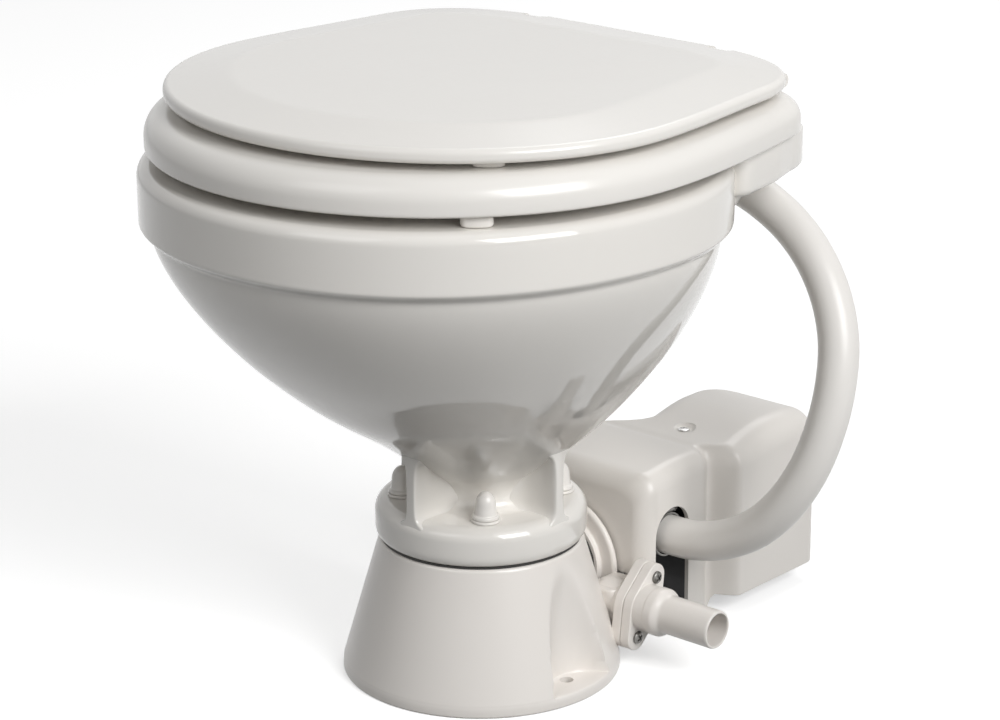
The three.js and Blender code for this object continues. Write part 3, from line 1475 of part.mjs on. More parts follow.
function add(name, shape, material, x = 0, y = 0, z = 0) {
  const geometry = shape.isBufferGeometry ? geometryFrom(solidFrom(shape)) : geometryFrom(shape);
  const mesh = new THREE.Mesh(geometry, material);
  mesh.name = name;
  mesh.position.set(x, y, z);
  toilet.add(mesh);
  return mesh;
}

add('pedestal', pedestal(), whitePlastic);
add('bowl_gasket', bowlGasket(), rubber);
add('bowl', bowl(), ceramic);

aroundStuds((x, y, angle, number) => {
  const washerZ = flangeTop + fitGap;
  add(`bowl_stud_${number}`, stud(), stainless, x, y);
  add(`stud_washer_${number}`, washer(), nutPlastic, x, y, washerZ);
  add(`cap_nut_${number}`, capNut(), nutPlastic, x, y, washerZ + washerThickness + fitGap);
});

add('seat', seat(), enamel);
add('lid', lid(), enamel);

for (const [side, word] of [[-1, 'left'], [1, 'right']]) {
  const seatPad = bumper(seatBottom - rimTop - fitGap - fitGap);
  const frontPad = add(`seat_bumper_front_${word}`, seatPad, nutPlastic,
    side * seatBumperHalf, -seatBumperFront, rimTop + fitGap);
  frontPad.rotation.z = side * seatBumperTurn;
  const rearPad = add(`seat_bumper_rear_${word}`, seatPad, nutPlastic,
    side * seatBumperRearHalf, seatBumperRearY, rimTop + fitGap);
  rearPad.rotation.z = side * seatBumperRearTurn;
  const lidPad = add(`lid_bumper_${word}`, bumper(lidBottom - seatTop - fitGap - fitGap), nutPlastic,
    side * lidBumperHalf, -lidBumperFront, seatTop + fitGap);
  lidPad.rotation.z = side * seatBumperTurn;
  const mirrored = (shape) => mirror(shape.isBufferGeometry ? solidFrom(shape) : shape, side);
  add(`hinge_post_${word}`, mirrored(hingePost()), nutPlastic, 0, hingeY, hingeZ);
  add(`hinge_pin_${word}`, mirrored(hingePin()), stainless, 0, hingeY, hingeZ);
  add(`seat_hinge_${word}`, mirrored(seatHinge()), nutPlastic, 0, hingeY, hingeZ);
  add(`lid_hinge_${word}`, mirrored(lidHinge()), nutPlastic, 0, hingeY, hingeZ);
  add(`hinge_nut_${word}`, hingeNut(), nutPlastic,
    side * hingePostX, hingeY + fitGap, deckBottom - fitGap - hingeNutHeight);
}

function mirror(solid, side) {
  const geometry = geometryFrom(solid);
  return side < 0 ? geometry.scale(-1, 1, 1) : geometry;
}

add('inlet_seal', inletSeal(), rubber);
add('inlet_elbow', inletElbow(), whitePlastic);
add('flush_hose', flushHose(), hoseVinyl);
for (const [name, x, y, z] of [
  ['hose_clamp_pump', flushHoseStart + fitGap, flushPortY, flushPortZ],
  ['hose_clamp_bowl', hoseInletStart + clampInset, inletElbowY, inletZ],
]) {
  const clamp = add(name, hoseClamp(), stainless, x, y, z);
  clamp.rotation.y = Math.PI / 2;
}

add('pump_housing', pumpHousing(), whitePlastic);
add('soil_seal', soilSeal(), rubber);
add('outlet_spigot', outletSpigot(), whitePlastic);
add('joker_valve', jokerValve(), rubber);
for (const [side, word] of [[-1, 'lower'], [1, 'upper']]) {
  const screw = add(`outlet_screw_${word}`, outletScrew(), stainless,
    outletFaceX, outletY + side * outletScrewY, outletZ + side * outletScrewZ);
  screw.rotation.y = Math.PI / 2;
}

const cutterMesh = add('cutter', cutter(), stainless,
  shaftX, chamberFloorY + fitGap + chamberDepth / 3, shaftZ);
cutterMesh.rotation.x = Math.PI / 2;
const impellerMesh = add('discharge_impeller', dischargeImpeller(), blackPlastic,
  shaftX, chamberEndY - fitGap, shaftZ);
impellerMesh.rotation.x = Math.PI / 2;
add('pump_end_plate', pumpEndPlate(), whitePlastic);
add('shaft_seal', shaftSeal(), rubber);
add('flush_pump_body', flushPumpBody(), blackPlastic);
const flushImpellerMesh = add('flush_impeller', flushImpeller(), impellerRubber,
  shaftX, flushPumpY + flushPumpLength - fitGap, shaftZ);
flushImpellerMesh.rotation.x = Math.PI / 2;
add('flush_pump_cover', flushPumpCover(), blackPlastic);
add('motor_bracket', motorBracket(), stainless);
add('motor_casing', motorCasing(), motorPaint);
add('motor_end_cap', motorEndCap(), motorPaint);
add('motor_shaft', alongY(motorShaft(), shaftX, shaftZ), stainless);
const gland = add('cable_gland', cableGland(), blackPlastic,
  shaftX, motorCapY + endCapLength + fitGap, shaftZ - motorRadius / 2);
gland.rotation.x = -Math.PI / 2;
add('motor_cover', motorCover(), coverPlastic);
add('cover_screw', coverScrew(), stainless,
  coverScrewX, coverScrewY, coverFrontTop + coverScrewRise - coverDimpleDepth);

export default toilet;
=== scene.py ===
import math

import bmesh
import bpy
import numpy as np
from mathutils import Matrix, Vector


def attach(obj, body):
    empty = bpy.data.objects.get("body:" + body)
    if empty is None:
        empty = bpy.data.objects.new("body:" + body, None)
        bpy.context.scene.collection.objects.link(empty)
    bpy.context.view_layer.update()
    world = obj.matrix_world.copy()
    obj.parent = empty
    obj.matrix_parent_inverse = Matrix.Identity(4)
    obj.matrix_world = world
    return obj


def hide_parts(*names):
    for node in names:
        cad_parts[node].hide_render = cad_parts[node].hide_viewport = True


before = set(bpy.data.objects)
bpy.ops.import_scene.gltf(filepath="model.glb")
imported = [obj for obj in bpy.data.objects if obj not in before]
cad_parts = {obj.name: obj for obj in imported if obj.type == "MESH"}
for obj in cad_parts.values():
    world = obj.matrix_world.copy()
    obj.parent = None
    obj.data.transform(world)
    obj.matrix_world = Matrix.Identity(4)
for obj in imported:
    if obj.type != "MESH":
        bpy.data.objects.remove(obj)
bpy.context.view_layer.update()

# Camera: it looks down on the toilet a little, from the right of its front.
# Its place and lens come from the ellipses of the foot, the flange and the rim.
turn, tip, roll = (math.radians(a) for a in (41.2644, 18.4032, -0.2159))
aim_height, aim_across, aim_up = 0.19, 0.01255, 0.016066
distance, lens, film_width, farthest = 1.992366, 113.323, 36, 50


def linked(name, data):
    """A new object of the scene."""
    made = bpy.data.objects.new(name, data)
    bpy.context.scene.collection.objects.link(made)
    return made


towards = Vector((math.sin(turn) * math.cos(tip), -math.cos(turn) * math.cos(tip), math.sin(tip)))
across = Vector((math.cos(turn), math.sin(turn), 0))
upward = towards.cross(across)
aim = Vector((0, 0, aim_height)) + across * aim_across + upward * aim_up
level = across * math.cos(roll) + upward * math.sin(roll)
plumb = upward * math.cos(roll) - across * math.sin(roll)
camera = linked("camera", bpy.data.cameras.new("camera"))
camera.data.sensor_fit = "HORIZONTAL"
camera.data.sensor_width = film_width
camera.data.lens = lens
camera.data.clip_end = farthest
axes = Matrix((level, plumb, towards)).transposed().to_4x4()
camera.matrix_world = Matrix.Translation(aim + towards * distance) @ axes
bpy.context.scene.camera = camera
bpy.context.scene.view_settings.view_transform = "Standard"


# Studio: a pale floor, a broad soft lamp high on the right, weaker ones in front and behind, and an even surround.
# The surround and the floor look white to the camera and in reflections, and light the toilet less than that.
class Wire:
    """One output of a node. Sums and products of wires and numbers add Math nodes."""

    def __init__(self, nodes, socket):
        self.nodes, self.socket = nodes, socket

    def math(self, operation, first, second):
        return self.nodes.node("ShaderNodeMath", {"operation": operation}, {0: first, 1: second})

    def __add__(self, other):
        return self.math("ADD", self, other)

    def __radd__(self, other):
        return self.math("ADD", other, self)

    def __mul__(self, other):
        return self.math("MULTIPLY", self, other)

    def __rmul__(self, other):
        return self.math("MULTIPLY", other, self)


class Nodes:
    """A node tree that is filled by one method."""

    def __init__(self, owner):
        owner.use_nodes = True
        self.tree = owner.node_tree
        self.tree.nodes.clear()

    def node(self, kind, settings=None, values=None, out=0):
        """Adds a node: its settings first, then the values or wires of its sockets. Gives the wire of one output."""
        made = self.tree.nodes.new(kind)
        for key, value in (settings or {}).items():
            setattr(made, key, value)
        for key, value in (values or {}).items():
            if isinstance(value, Wire):
                self.tree.links.new(value.socket, made.inputs[key])
            else:
                made.inputs[key].default_value = value
        return Wire(self, made.outputs[out]) if len(made.outputs) else None

    def blend(self, share, first, second):
        """Colour between two colours: first where share is 0, second where it is 1."""
        return self.node("ShaderNodeMix", {"data_type": "RGBA"}, {0: share, 6: first, 7: second}, out=2)


def seen_directly(nodes):
    """1 for a ray from the camera, a mirror ray or a ray through glass, 0 for a ray that lights a surface."""
    rays = [nodes.node("ShaderNodeLightPath", out=name)
            for name in ("Is Camera Ray", "Is Glossy Ray", "Is Transmission Ray")]
    return nodes.node("ShaderNodeClamp", {}, {0: rays[0] + rays[1] + rays[2]})


white, floor_tint, floor_bounce = (1, 1, 1, 1), (0.93, 0.93, 0.93, 1), (0.15, 0.15, 0.145, 1)
surround_light, floor_glow, floor_reach = 0.22, 0.5, 9
world = bpy.data.worlds.new("surround")
bpy.context.scene.world = world
sky = Nodes(world)
direct = seen_directly(sky)
sky.node("ShaderNodeOutputWorld", {}, {0: sky.node(
    "ShaderNodeBackground", {}, {0: white, 1: direct * (1 - surround_light) + surround_light})})

floor_mesh = bpy.data.meshes.new("floor")
floor_corners = [(floor_reach * a, floor_reach * b, 0) for a, b in ((-1, -1), (1, -1), (1, 1), (-1, 1))]
floor_mesh.from_pydata(floor_corners, [], [(0, 1, 2, 3)])
floor = linked("floor", floor_mesh)
floor_paint = bpy.data.materials.new("floor")
pale = Nodes(floor_paint)
direct = seen_directly(pale)
diffuse = pale.node("ShaderNodeBsdfDiffuse", {}, {0: pale.blend(direct, floor_bounce, floor_tint)})
glow = pale.node("ShaderNodeEmission", {}, {0: white, 1: direct * floor_glow})
pale.node("ShaderNodeOutputMaterial", {}, {0: pale.node("ShaderNodeAddShader", {}, {0: diffuse, 1: glow})})
floor_mesh.materials.append(floor_paint)

lamp_size, lamp_aim = 1.6, Vector((0, 0, 0.2))
for name, place, power in (
    ("key_lamp", (2.5, -0.45, 1.75), 66),
    ("front_lamp", (-0.1, -2.3, 2.3), 11),
    ("back_lamp", (-0.9, 2.2, 2.9), 22),
):
    lamp = bpy.data.lights.new(name, "AREA")
    lamp.shape = "SQUARE"
    lamp.size, lamp.energy = lamp_size, power
    stand = linked(name, lamp)
    stand.location = place
    stand.rotation_euler = (lamp_aim - Vector(place)).to_track_quat("-Z", "Y").to_euler()

# Foot: a white plastic cone, injection moulded, that stands on the cabin sole and is bolted through two scoops.
# Its middle is the soil chamber, four ribs stiffen its hollow underside, and the pump bolts to a flat at the back.
MM = 0.001
merge_gap, sliver, sharp_edge = 2e-6, 1e-6, 42
most_share, hold_share = 0.49, 1.3


def rounded(rows, soft, steps=5):
    """Rows with rounded corners. A curve leaves each run soft mm before a corner row and joins the next run as far
    after it: p = (1-t)^2 a + 2t(1-t) corner + t^2 b. A row just outside each end keeps the flats flat."""
    rows = [np.asarray(row, float) for row in rows]
    soft = np.broadcast_to(soft, len(rows) - 2)
    done = [rows[0]]
    for before, here, after, reach in zip(rows[:-2], rows[1:-1], rows[2:], soft):
        if reach <= 0:
            done.append(here)
            continue
        back = np.linalg.norm(before - here, axis=-1).mean() + 1e-9
        on = np.linalg.norm(after - here, axis=-1).mean() + 1e-9
        a = here + (before - here) * min(most_share, reach / back)
        b = here + (after - here) * min(most_share, reach / on)
        if reach * hold_share < most_share * back:
            done.append(here + (before - here) * reach * hold_share / back)
        done += [(1 - t) ** 2 * a + 2 * t * (1 - t) * here + t * t * b for t in np.linspace(0, 1, steps + 1)]
        if reach * hold_share < most_share * on:
            done.append(here + (after - here) * reach * hold_share / on)
    done.append(rows[-1])
    return np.array(done)


def arc(start, end, count):
    """Pairs of cosine and sine, at angles spread evenly from start to end, both in quarter turns."""
    a = np.linspace(start, end, count) * np.pi / 2
    return np.stack([np.cos(a), np.sin(a)], axis=-1)


def rod(radius, start, end):
    """Profile of a plain round rod between two heights, as (radius, height) pairs."""
    return [(0, start), (radius, start), (radius, end), (0, end)]


def turned(profile, axis="Z", at=(0, 0, 0), sides=96):
    """Surface of revolution of (radius, height) pairs: (r cos u, r sin u, h), with the height along the axis."""
    u = np.linspace(0, 2 * np.pi, sides, endpoint=False)
    profile = np.asarray(profile, float)
    r, h = profile[:, :1], profile[:, 1:] + 0 * u
    c, s = r * np.cos(u), r * np.sin(u)
    order = {"Z": (c, s, h), "Y": (c, h, s), "X": (h, c, s)}[axis]
    return np.stack(order, axis=-1) + np.asarray(at, float)


def spun(points, bearing):
    """Points turned about Z: (x cos b - y sin b, x sin b + y cos b), with any height kept."""
    c, s = math.cos(bearing), math.sin(bearing)
    x, y = points[..., 0], points[..., 1]
    return np.concatenate([np.stack([x * c - y * s, x * s + y * c], axis=-1), points[..., 2:]], axis=-1)


def capped(rows):
    """The rows with a pole at each end, in the middle of the first and of the last row."""
    ends = [np.broadcast_to(rows[i].mean(axis=0), rows[i].shape)[None] for i in (0, -1)]
    return np.concatenate([ends[0], rows, ends[1]])


def prism(flat, levels, axis="Z"):
    """A flat outline repeated at each level along an axis, with its ends capped."""
    place = {"X": 0, "Z": 2}[axis]
    return capped(np.array([np.insert(np.asarray(flat, float), place, at, axis=1) for at in levels]))


def closed_mesh(name, grids, drop_slivers=False):
    """One mesh from closed grids of points [row, round, xyz] in mm. A grid in a tuple joins its last row to its
    first. Doubled points merge, so poles and seams close, and faces are turned outwards."""
    points, faces, start = [], [], 0
    for grid in grids:
        endless = isinstance(grid, tuple)
        grid = grid[0] if endless else grid
        rows, count = grid.shape[:2]
        i, j = np.meshgrid(np.arange(rows if endless else rows - 1), np.arange(count), indexing="ij")
        k, m = (i + 1) % rows, (j + 1) % count
        corners = np.stack([i * count + j, i * count + m, k * count + m, k * count + j], axis=-1)
        points.append(grid.reshape(-1, 3))
        faces.append(corners.reshape(-1, 4) + start)
        start += rows * count
    mesh = bpy.data.meshes.new(name)
    mesh.from_pydata((np.concatenate(points) * MM).tolist(), [], np.concatenate(faces).tolist())
    shell = bmesh.new()
    shell.from_mesh(mesh)
    bmesh.ops.remove_doubles(shell, verts=shell.verts, dist=merge_gap)
    if drop_slivers:
        bmesh.ops.dissolve_degenerate(shell, edges=shell.edges, dist=sliver)
    bmesh.ops.recalc_face_normals(shell, faces=shell.faces)
    shell.to_mesh(mesh)
    shell.free()
    return mesh


def smoothed(mesh, sharp):
    """Shades a mesh smooth but for edges over the sharp angle, in degrees."""
    mesh.shade_smooth()
    mesh.set_sharp_from_angle(angle=math.radians(sharp))


def placed(name, mesh, surface, body, slot, *nodes, sharp=sharp_edge):
    """Puts a mesh into the scene with its finish, on its body and in place of its nodes."""
    smoothed(mesh, sharp)
    mesh.materials.clear()
    mesh.materials.append(surface)
    made = linked(name, mesh)
    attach(made, body)
    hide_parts(*nodes)
    return made


def piece(name, grids, surface, body, slot, *nodes, sharp=sharp_edge):
    """A new piece from closed grids."""
    return placed(name, closed_mesh(name, grids, drop_slivers=True), surface, body, slot, *nodes, sharp=sharp)


def cutter(grid):
    """A closed mesh from a grid in mm, to be taken out of a piece and then deleted."""
    return linked("cutter", closed_mesh("cutter", [grid]))


def carved(solid, *tools):
    """The solid less each tool, all of them closed meshes, with the solid's finish kept."""
    for tool in tools:
        cut = solid.modifiers.new("cut", "BOOLEAN")
        cut.operation, cut.solver, cut.object = "DIFFERENCE", "EXACT", tool
    ready = solid.evaluated_get(bpy.context.evaluated_depsgraph_get())
    mesh = bpy.data.meshes.new_from_object(ready)
    solid.modifiers.clear()
    solid.data = mesh
    smoothed(mesh, sharp_edge)
    for tool in tools:
        bpy.data.objects.remove(tool)
    return solid


def finish(name, tone, other, roughness, patch=9.0, grain=220.0, relief=0, ripple=0, ripple_scale=22.0,
           constants=None):
    """A material of two near tones in soft patches, with a roughness that varies a little, fine relief and a broad
    ripple. The constants go on the shader's own sockets."""
    made = bpy.data.materials.new(name)
    nodes = Nodes(made)
    place = nodes.node("ShaderNodeTexCoord", out="Object")
    patches, fine, broad = (
        nodes.node("ShaderNodeTexNoise", {}, {"Vector": place, "Scale": scale, "Detail": detail})
        for scale, detail in ((patch, 3.0), (grain, 2.0), (ripple_scale, 1.0)))
    low, high = roughness
    spread = (high - low) / 2
    shader = nodes.node("ShaderNodeBsdfPrincipled", {}, {
        "Base Color": nodes.blend(patches, (*tone, 1), (*other, 1)),
        "Roughness": patches * spread + fine * spread + low,
        "Normal": nodes.node("ShaderNodeBump", {}, {
            "Strength": 1.0, "Distance": MM, "Height": fine * relief + broad * ripple}),
        **(constants or {}),
    })
    nodes.node("ShaderNodeOutputMaterial", {}, {0: shader})
    return made


white_plastic = finish("white_plastic", (0.83, 0.79, 0.75), (0.86, 0.825, 0.785), (0.24, 0.36),
                       relief=0.012, ripple=0.05, constants={"IOR": 1.49, "Coat Weight": 0.12})

foot_r, foot_edge, top_r, foot_h, skirt = 90, 6, 65.5, 90.5, 4.5
sole_inset, sole_round, lip = 8, 1.8, 0.25
scoop_r, scoop_x, scoop_flare, pad_z = 25, 93, 2.5, 8
scoop_soft, under_soft, out_of_reach = 2.4, 3, 200
chamber_r, chamber_out, roof_z = 26, 31, 73.5
rib_middle, rib_run, rib_wall = 60, 34, 2
bolt_x, bolt_r = 72, 4.5
hub_y, hub_z, hub_flat, hub_end = 77, 48, 34, 96
around = np.linspace(0, 2 * np.pi, 360, endpoint=False)
square_corners = np.array([[1, 1], [-1, 1], [-1, -1], [1, -1]])


def soft_min(a, b, blend):
    """The smaller of two distances, with the change-over rounded: a quadratic dip where they are within blend."""
    h = np.clip(blend - np.abs(a - b), 0, None) / blend
    return np.minimum(a, b) - h * h * blend / 4


def scooped(radius, z, gap, blend):
    """Radius of the foot at each bearing: the cone's, or the near side of the scoops' cylinders, whichever is less.
    The ray from the middle meets a cylinder of radius s, its axis at scoop_x, at x cos - sqrt(s^2 - x^2 sin^2)."""
    s = scoop_r + scoop_flare * np.clip(1 - (z - pad_z) / (foot_h - pad_z), 0, 1) + gap
    inside = s * s - (scoop_x * np.sin(around)) ** 2
    near = scoop_x * np.abs(np.cos(around)) - np.sqrt(np.clip(inside, 0, None))
    return soft_min(radius, np.where(inside > 0, near, out_of_reach), blend)


def cone_at(z):
    """Radius of the cone's straight side at a height."""
    return foot_r + (top_r - foot_r) * (z - foot_edge) / (foot_h - foot_edge)


def level_row(radius, z):
    """A row of points at one height, with one radius or one for each bearing."""
    return np.stack([radius * np.cos(around), radius * np.sin(around), z + 0 * around], axis=-1)


rows = [level_row(0, 0), level_row(foot_r - sole_inset, 0)]
rows += [level_row(foot_r - sole_round + sole_round * c, sole_round + sole_round * s) for c, s in arc(-1, 0, 7)]
rows += [level_row(foot_r - lip, foot_edge - 1), level_row(cone_at(pad_z - 0.8), pad_z - 0.8)]
rim = cone_at(pad_z)
inner = scooped(rim, pad_z, 0, 1.0)
rows.append(level_row(np.minimum(rim, np.maximum(inner, rim - lip)), pad_z - 0.2))
rows += [level_row(rim + (inner - rim) * share, pad_z) for share in (0.05, 0.25, 0.5, 0.75, 0.95)]
for z in pad_z + (foot_h - 1 - pad_z) * np.linspace(0, 1, 60)[1:] ** 1.1:
    rows.append(level_row(scooped(cone_at(z), z, 0, scoop_soft), z))
rows += [level_row(top_r - 0.6, foot_h - 0.2), level_row(top_r - 1.2, foot_h)]
rows += [level_row(chamber_r, foot_h), level_row(chamber_r, pad_z), level_row(0, pad_z)]
foot = piece("foot", [np.array(rows)], white_plastic, "frame", "white_plastic", "pedestal")

# the hollow underside, its ribs, the bolt holes and the passage to the pump are cut from the cone
below_sole = -3
under = [level_row(chamber_out, below_sole), level_row(scooped(foot_r - skirt, 0, skirt, under_soft), below_sole)]
for z in np.linspace(0, roof_z, 16):
    under.append(level_row(scooped(cone_at(z) - skirt, z, skirt, under_soft), z))
under += [level_row(chamber_out, roof_z), level_row(chamber_out, below_sole)]
hollow = cutter(np.array(under))
rib_flat = square_corners * (rib_run, rib_wall) + (rib_middle, 0)
for corner in range(4):
    carved(hollow, cutter(spun(prism(rib_flat, (-4, roof_z + 4)), math.pi / 4 + corner * math.pi / 2)))
bolt_holes = [cutter(turned(rod(bolt_r, -1, pad_z + 1), at=(x, 0, 0), sides=32)) for x in (bolt_x, -bolt_x)]
carved(foot, hollow, *bolt_holes, cutter(turned(rod(hub_flat, hub_y, hub_end), "Y", (0, 0, hub_z))))

# Gasket between foot and bowl: a flat ring cut from black rubber sheet, squeezed by the four studs.
# Only its outer edge shows, as a dark line.
rubber = finish("rubber", (0.018, 0.017, 0.016), (0.035, 0.033, 0.031), (0.62, 0.8), relief=0.05, grain=600.0)
gasket_r, gasket_low, gasket_high = 64.8, 90.8, 92.4
ring_edge = [(chamber_r, gasket_low), (gasket_r, gasket_low), (gasket_r, gasket_high), (chamber_r, gasket_high)]
piece("bowl_seal_ring", [(turned(rounded(ring_edge, 0.4), sides=160),)], rubber, "frame", "rubber", "bowl_gasket")

# Bowl: slip-cast vitreous china with a clear glaze, one hollow casting from the bolted flange to the flushing rim.
# Four ribs tie its neck to the flange, and a raised deck behind the rim carries the hinges of seat and lid.
glaze = finish("glaze", (0.82, 0.793, 0.75), (0.85, 0.826, 0.787), (0.045, 0.10), ripple=0.16, ripple_scale=16.0,
               patch=7.0, constants={"IOR": 1.52, "Coat Weight": 0.12, "Coat Roughness": 0.03})
bowl_foot, flange_r, flange_foot, flange_top = 92.7, 68, 66, 117.7
foot_lip, foot_bulge, foot_ease, flange_round = 1.5, 3.5, 7, 9
neck_r, throat_r, wall, fillet_out, fillet_up = 34.5, 24, 9, 9.5, 7.5
cone_z, cone_r, band_z, rim_z = 167, 74, 308, 350
half_w, front_y, back_y, wide_shift = 175, 213, 122, 28.8
band_out, band_ease, band_full, rim_round = 6.8, 7.5, 316, 8
mouth_w, mouth_front, mouth_back, mouth_square = 127, 160, 86, 2.15
lip_depth, roof_depth = 27, 12
side_power, front_power, back_power, rim_square = 1.45, 0.85, 2.3, 2.08
bowl_count = 248
eased_from, eased_to, eased_times = 8, 60, 70


def squared(wave, power):
    """A cosine or sine with its size raised to a power, which squares a circle where the power is under 1."""
    return np.sign(wave) * np.abs(wave) ** power


def step(value, start, length):
    """Smooth change from 0 to 1 over a length: 3t^2 - 2t^3."""
    t = np.clip((value - start) / length, 0, 1)
    return t * t * (3 - 2 * t)


def oval(half, front, back, wide_y, z, square=rim_square):
    """Level oval: x = half |cos u|^(2/n), y = wide_y + reach |sin u|^(2/n), the reach to the back or to the front."""
    u = np.linspace(0, 2 * np.pi, bowl_count, endpoint=False)
    c, s = np.cos(u), np.sin(u)
    reach = np.where(s > 0, back - wide_y, front + wide_y)
    return np.stack([half * squared(c, 2 / square), wide_y + reach * squared(s, 2 / square), z + 0 * u], axis=-1)


def cone_row(z, inward=0.0):
    """Row of the cone at a height: each reach grows from the neck's to the rim's, fast at first and then slower."""
    rise = min(max((z - cone_z) / (band_z - cone_z), 0), 1)
    share = 1 - (1 - rise) ** side_power
    ways = (half_w, share), (front_y, share ** front_power), (back_y, 1 - (1 - share) ** back_power)
    return oval(*(cone_r + (end - cone_r) * way - inward for end, way in ways), -wide_shift * share, z)


def band_row(out, z):
    """Row of the rim's band: the cone's top row, further out by a distance."""
    return oval(half_w + out, front_y + out, back_y + out, -wide_shift, z)


def mouth_row(out, z):
    """Row of the opening inside the rim."""
    return oval(mouth_w + out, mouth_front + out, mouth_back + out, -wide_shift, z, mouth_square)


def round_row(radius, z):
    """Row of a plain circle."""
    return oval(radius, radius, radius, 0, z, 2)


def bezier(points, steps):
    """Cubic curve through its two end points: (1-t)^3 a + 3t(1-t)^2 b + 3t^2(1-t) c + t^3 d."""
    a, b, c, d = (np.asarray(p, float) for p in points)
    t = np.linspace(0, 1, steps)[:, None]
    return (1 - t) ** 3 * a + 3 * t * (1 - t) ** 2 * b + 3 * t * t * (1 - t) * c + t ** 3 * d


rows = [round_row(throat_r, bowl_foot), round_row(flange_foot - foot_lip, bowl_foot)]
for c, s in arc(-1, 0, 8):
    rows.append(round_row(flange_foot - foot_lip + foot_bulge * c, bowl_foot + foot_ease + foot_ease * s))
for c, s in arc(0, 1, 14):
    rows.append(round_row(flange_r - flange_round + flange_round * c, flange_top - flange_round + flange_round * s))
for c, s in arc(0, 1, 12):
    rows.append(round_row(neck_r + fillet_out * (1 - s), flange_top + fillet_up * (1 - c)))
neck_z = flange_top + fillet_up
shoulder = bezier([(neck_r, neck_z), (neck_r, neck_z + 15), (60, cone_z - 14), (cone_r, cone_z)], 26)[1:]
cone_heights = cone_z + (band_z - 1.5 - cone_z) * np.linspace(0, 1, 90)[1:]
rise = np.array([round_row(r, z) for r, z in shoulder] + [cone_row(z) for z in cone_heights])
# each pass moves a row half of the way towards the middle of its neighbours
for _ in range(eased_times):
    lower, here, upper = (rise[eased_from + by:eased_to + by] for by in (-1, 0, 1))
    rise[eased_from:eased_to] = here + 0.25 * (lower - 2 * here + upper)
rows += list(rise)
rows += [band_row(band_out * step(t, 0, 1), band_z - 1 + band_ease * t) for t in np.linspace(0, 1, 12)]
rows += [band_row(band_out, z) for z in np.linspace(band_full, rim_z - rim_round, 10)]
rows += [band_row(band_out - rim_round * (1 - c), rim_z - rim_round * (1 - s)) for c, s in arc(0, 1, 12)[1:]]
band_in, lip_z, roof = band_out - 2 * wall, rim_z - lip_depth, rim_z - roof_depth
rows += list(rounded([
    band_row(-1.3, rim_z), mouth_row(0, rim_z), mouth_row(0, lip_z), mouth_row(wall, lip_z),
    mouth_row(wall, roof), band_row(band_in, roof), band_row(band_in, band_full), cone_row(band_z, wall),
], [4, 3, 3, 3, 4, 6], 6))
water = cone_z + wall
rows += [cone_row(z, wall) for z in np.linspace(band_z, water, 60)[1:]]
rows += list(rounded([
    round_row(cone_r - wall, water), round_row(throat_r + wall, water - wall), round_row(throat_r, water - 2 * wall),
    round_row(throat_r, bowl_foot)], [6, 6], 6))
bowl_grids = [(np.array(rows),)]

# the ribs flare where they meet the flange, the cone and the neck, as cast fillets do
rib_half, rib_in, rib_out, rib_square, flare_most = 4.0, 26, 66.5, 0.22, 7
heights = np.linspace(flange_top - 8, cone_z + 6, 40)
u = np.linspace(0, 2 * np.pi, 64, endpoint=False)
x = squared(np.cos(u), rib_square) * 0.5 * (rib_out - rib_in) + 0.5 * (rib_out + rib_in)
low_flare = 2.6 * np.exp(-(heights - flange_top + 1) / 2.4)
high_flare = 3.6 * np.exp((heights - cone_z + 9) / 4.0)
neck_flare = 4.0 * np.exp(-(x - neck_r) / 2.6)
spread = np.clip(low_flare, 0, flare_most) + np.clip(high_flare, 0, flare_most)
thick = rib_half + spread[:, None] + np.clip(neck_flare, 0, flare_most)
rib = np.stack([x + 0 * thick, squared(np.sin(u), rib_square) * thick, heights[:, None] + 0 * thick], axis=-1)
bowl_grids += [capped(spun(rib, quarter * math.pi / 2)) for quarter in range(4)]

deck_low, deck_high, deck_inset, deck_front, deck_end = 329, 356.5, 22, 60, 113.5
low_share, low_round, top_share, top_round = 0.11, 4.5, 0.09, 3.5


def run(points, count):
    """Points spread evenly along a line through the given points."""
    points = np.asarray(points, float)
    length = np.concatenate([[0], np.cumsum(np.linalg.norm(np.diff(points, axis=0), axis=1))])
    at = np.linspace(0, length[-1], count)
    return np.stack([np.interp(at, length, points[:, i]) for i in range(points.shape[1])], axis=-1)


def quadratic(a, b, c, steps=16):
    """Curve from a to c drawn towards b: (1-t)^2 a + 2t(1-t) b + t^2 c."""
    a, b, c = (np.asarray(p, float) for p in (a, b, c))
    t = np.linspace(0, 1, steps)[:, None]
    return (1 - t) ** 2 * a + 2 * t * (1 - t) * b + t * t * c


def both_sides(right, count):
    """An outline's right half and its mirror image, with the points spread evenly."""
    return run(np.concatenate([right, right[::-1][1:] * (-1, 1)]), count)


outer = both_sides(np.concatenate([quadratic((150, 58), (162, 58), (160.5, 70)), [(156, 101)],
                                   quadratic((149.5, 122), (144.5, 157), (114, 157)), [(0, 157)]]), 160)
inside = mouth_row(deck_inset, 0)[:, :2]
inside = inside[inside[:, 1] > deck_front]
inside = run(np.concatenate([[(deck_end, deck_front)], inside, [(-deck_end, deck_front)]]), 160)


def deck_row(share, z):
    """Row along the deck between its outer edge, share 0, and its inner edge over the rim, share 1."""
    flat = outer + (inside - outer) * share
    return np.concatenate([flat, z + 0 * flat[:, :1]], axis=-1)


loop = [deck_row(0.5, deck_low), deck_row(low_share, deck_low)]
loop += [deck_row(low_share - low_share * c, deck_low + low_round + low_round * s) for c, s in arc(-1, 0, 8)]
loop += [deck_row(top_share - top_share * c, deck_high - top_round + top_round * s) for c, s in arc(0, 1, 8)]
loop += [deck_row(0.5, deck_high), deck_row(0.94, deck_high), deck_row(0.98, deck_high - 0.8),
         deck_row(1.0, deck_high - 3), deck_row(1.0, deck_low)]
bowl_grids.append(capped(np.array(loop).transpose(1, 0, 2)))

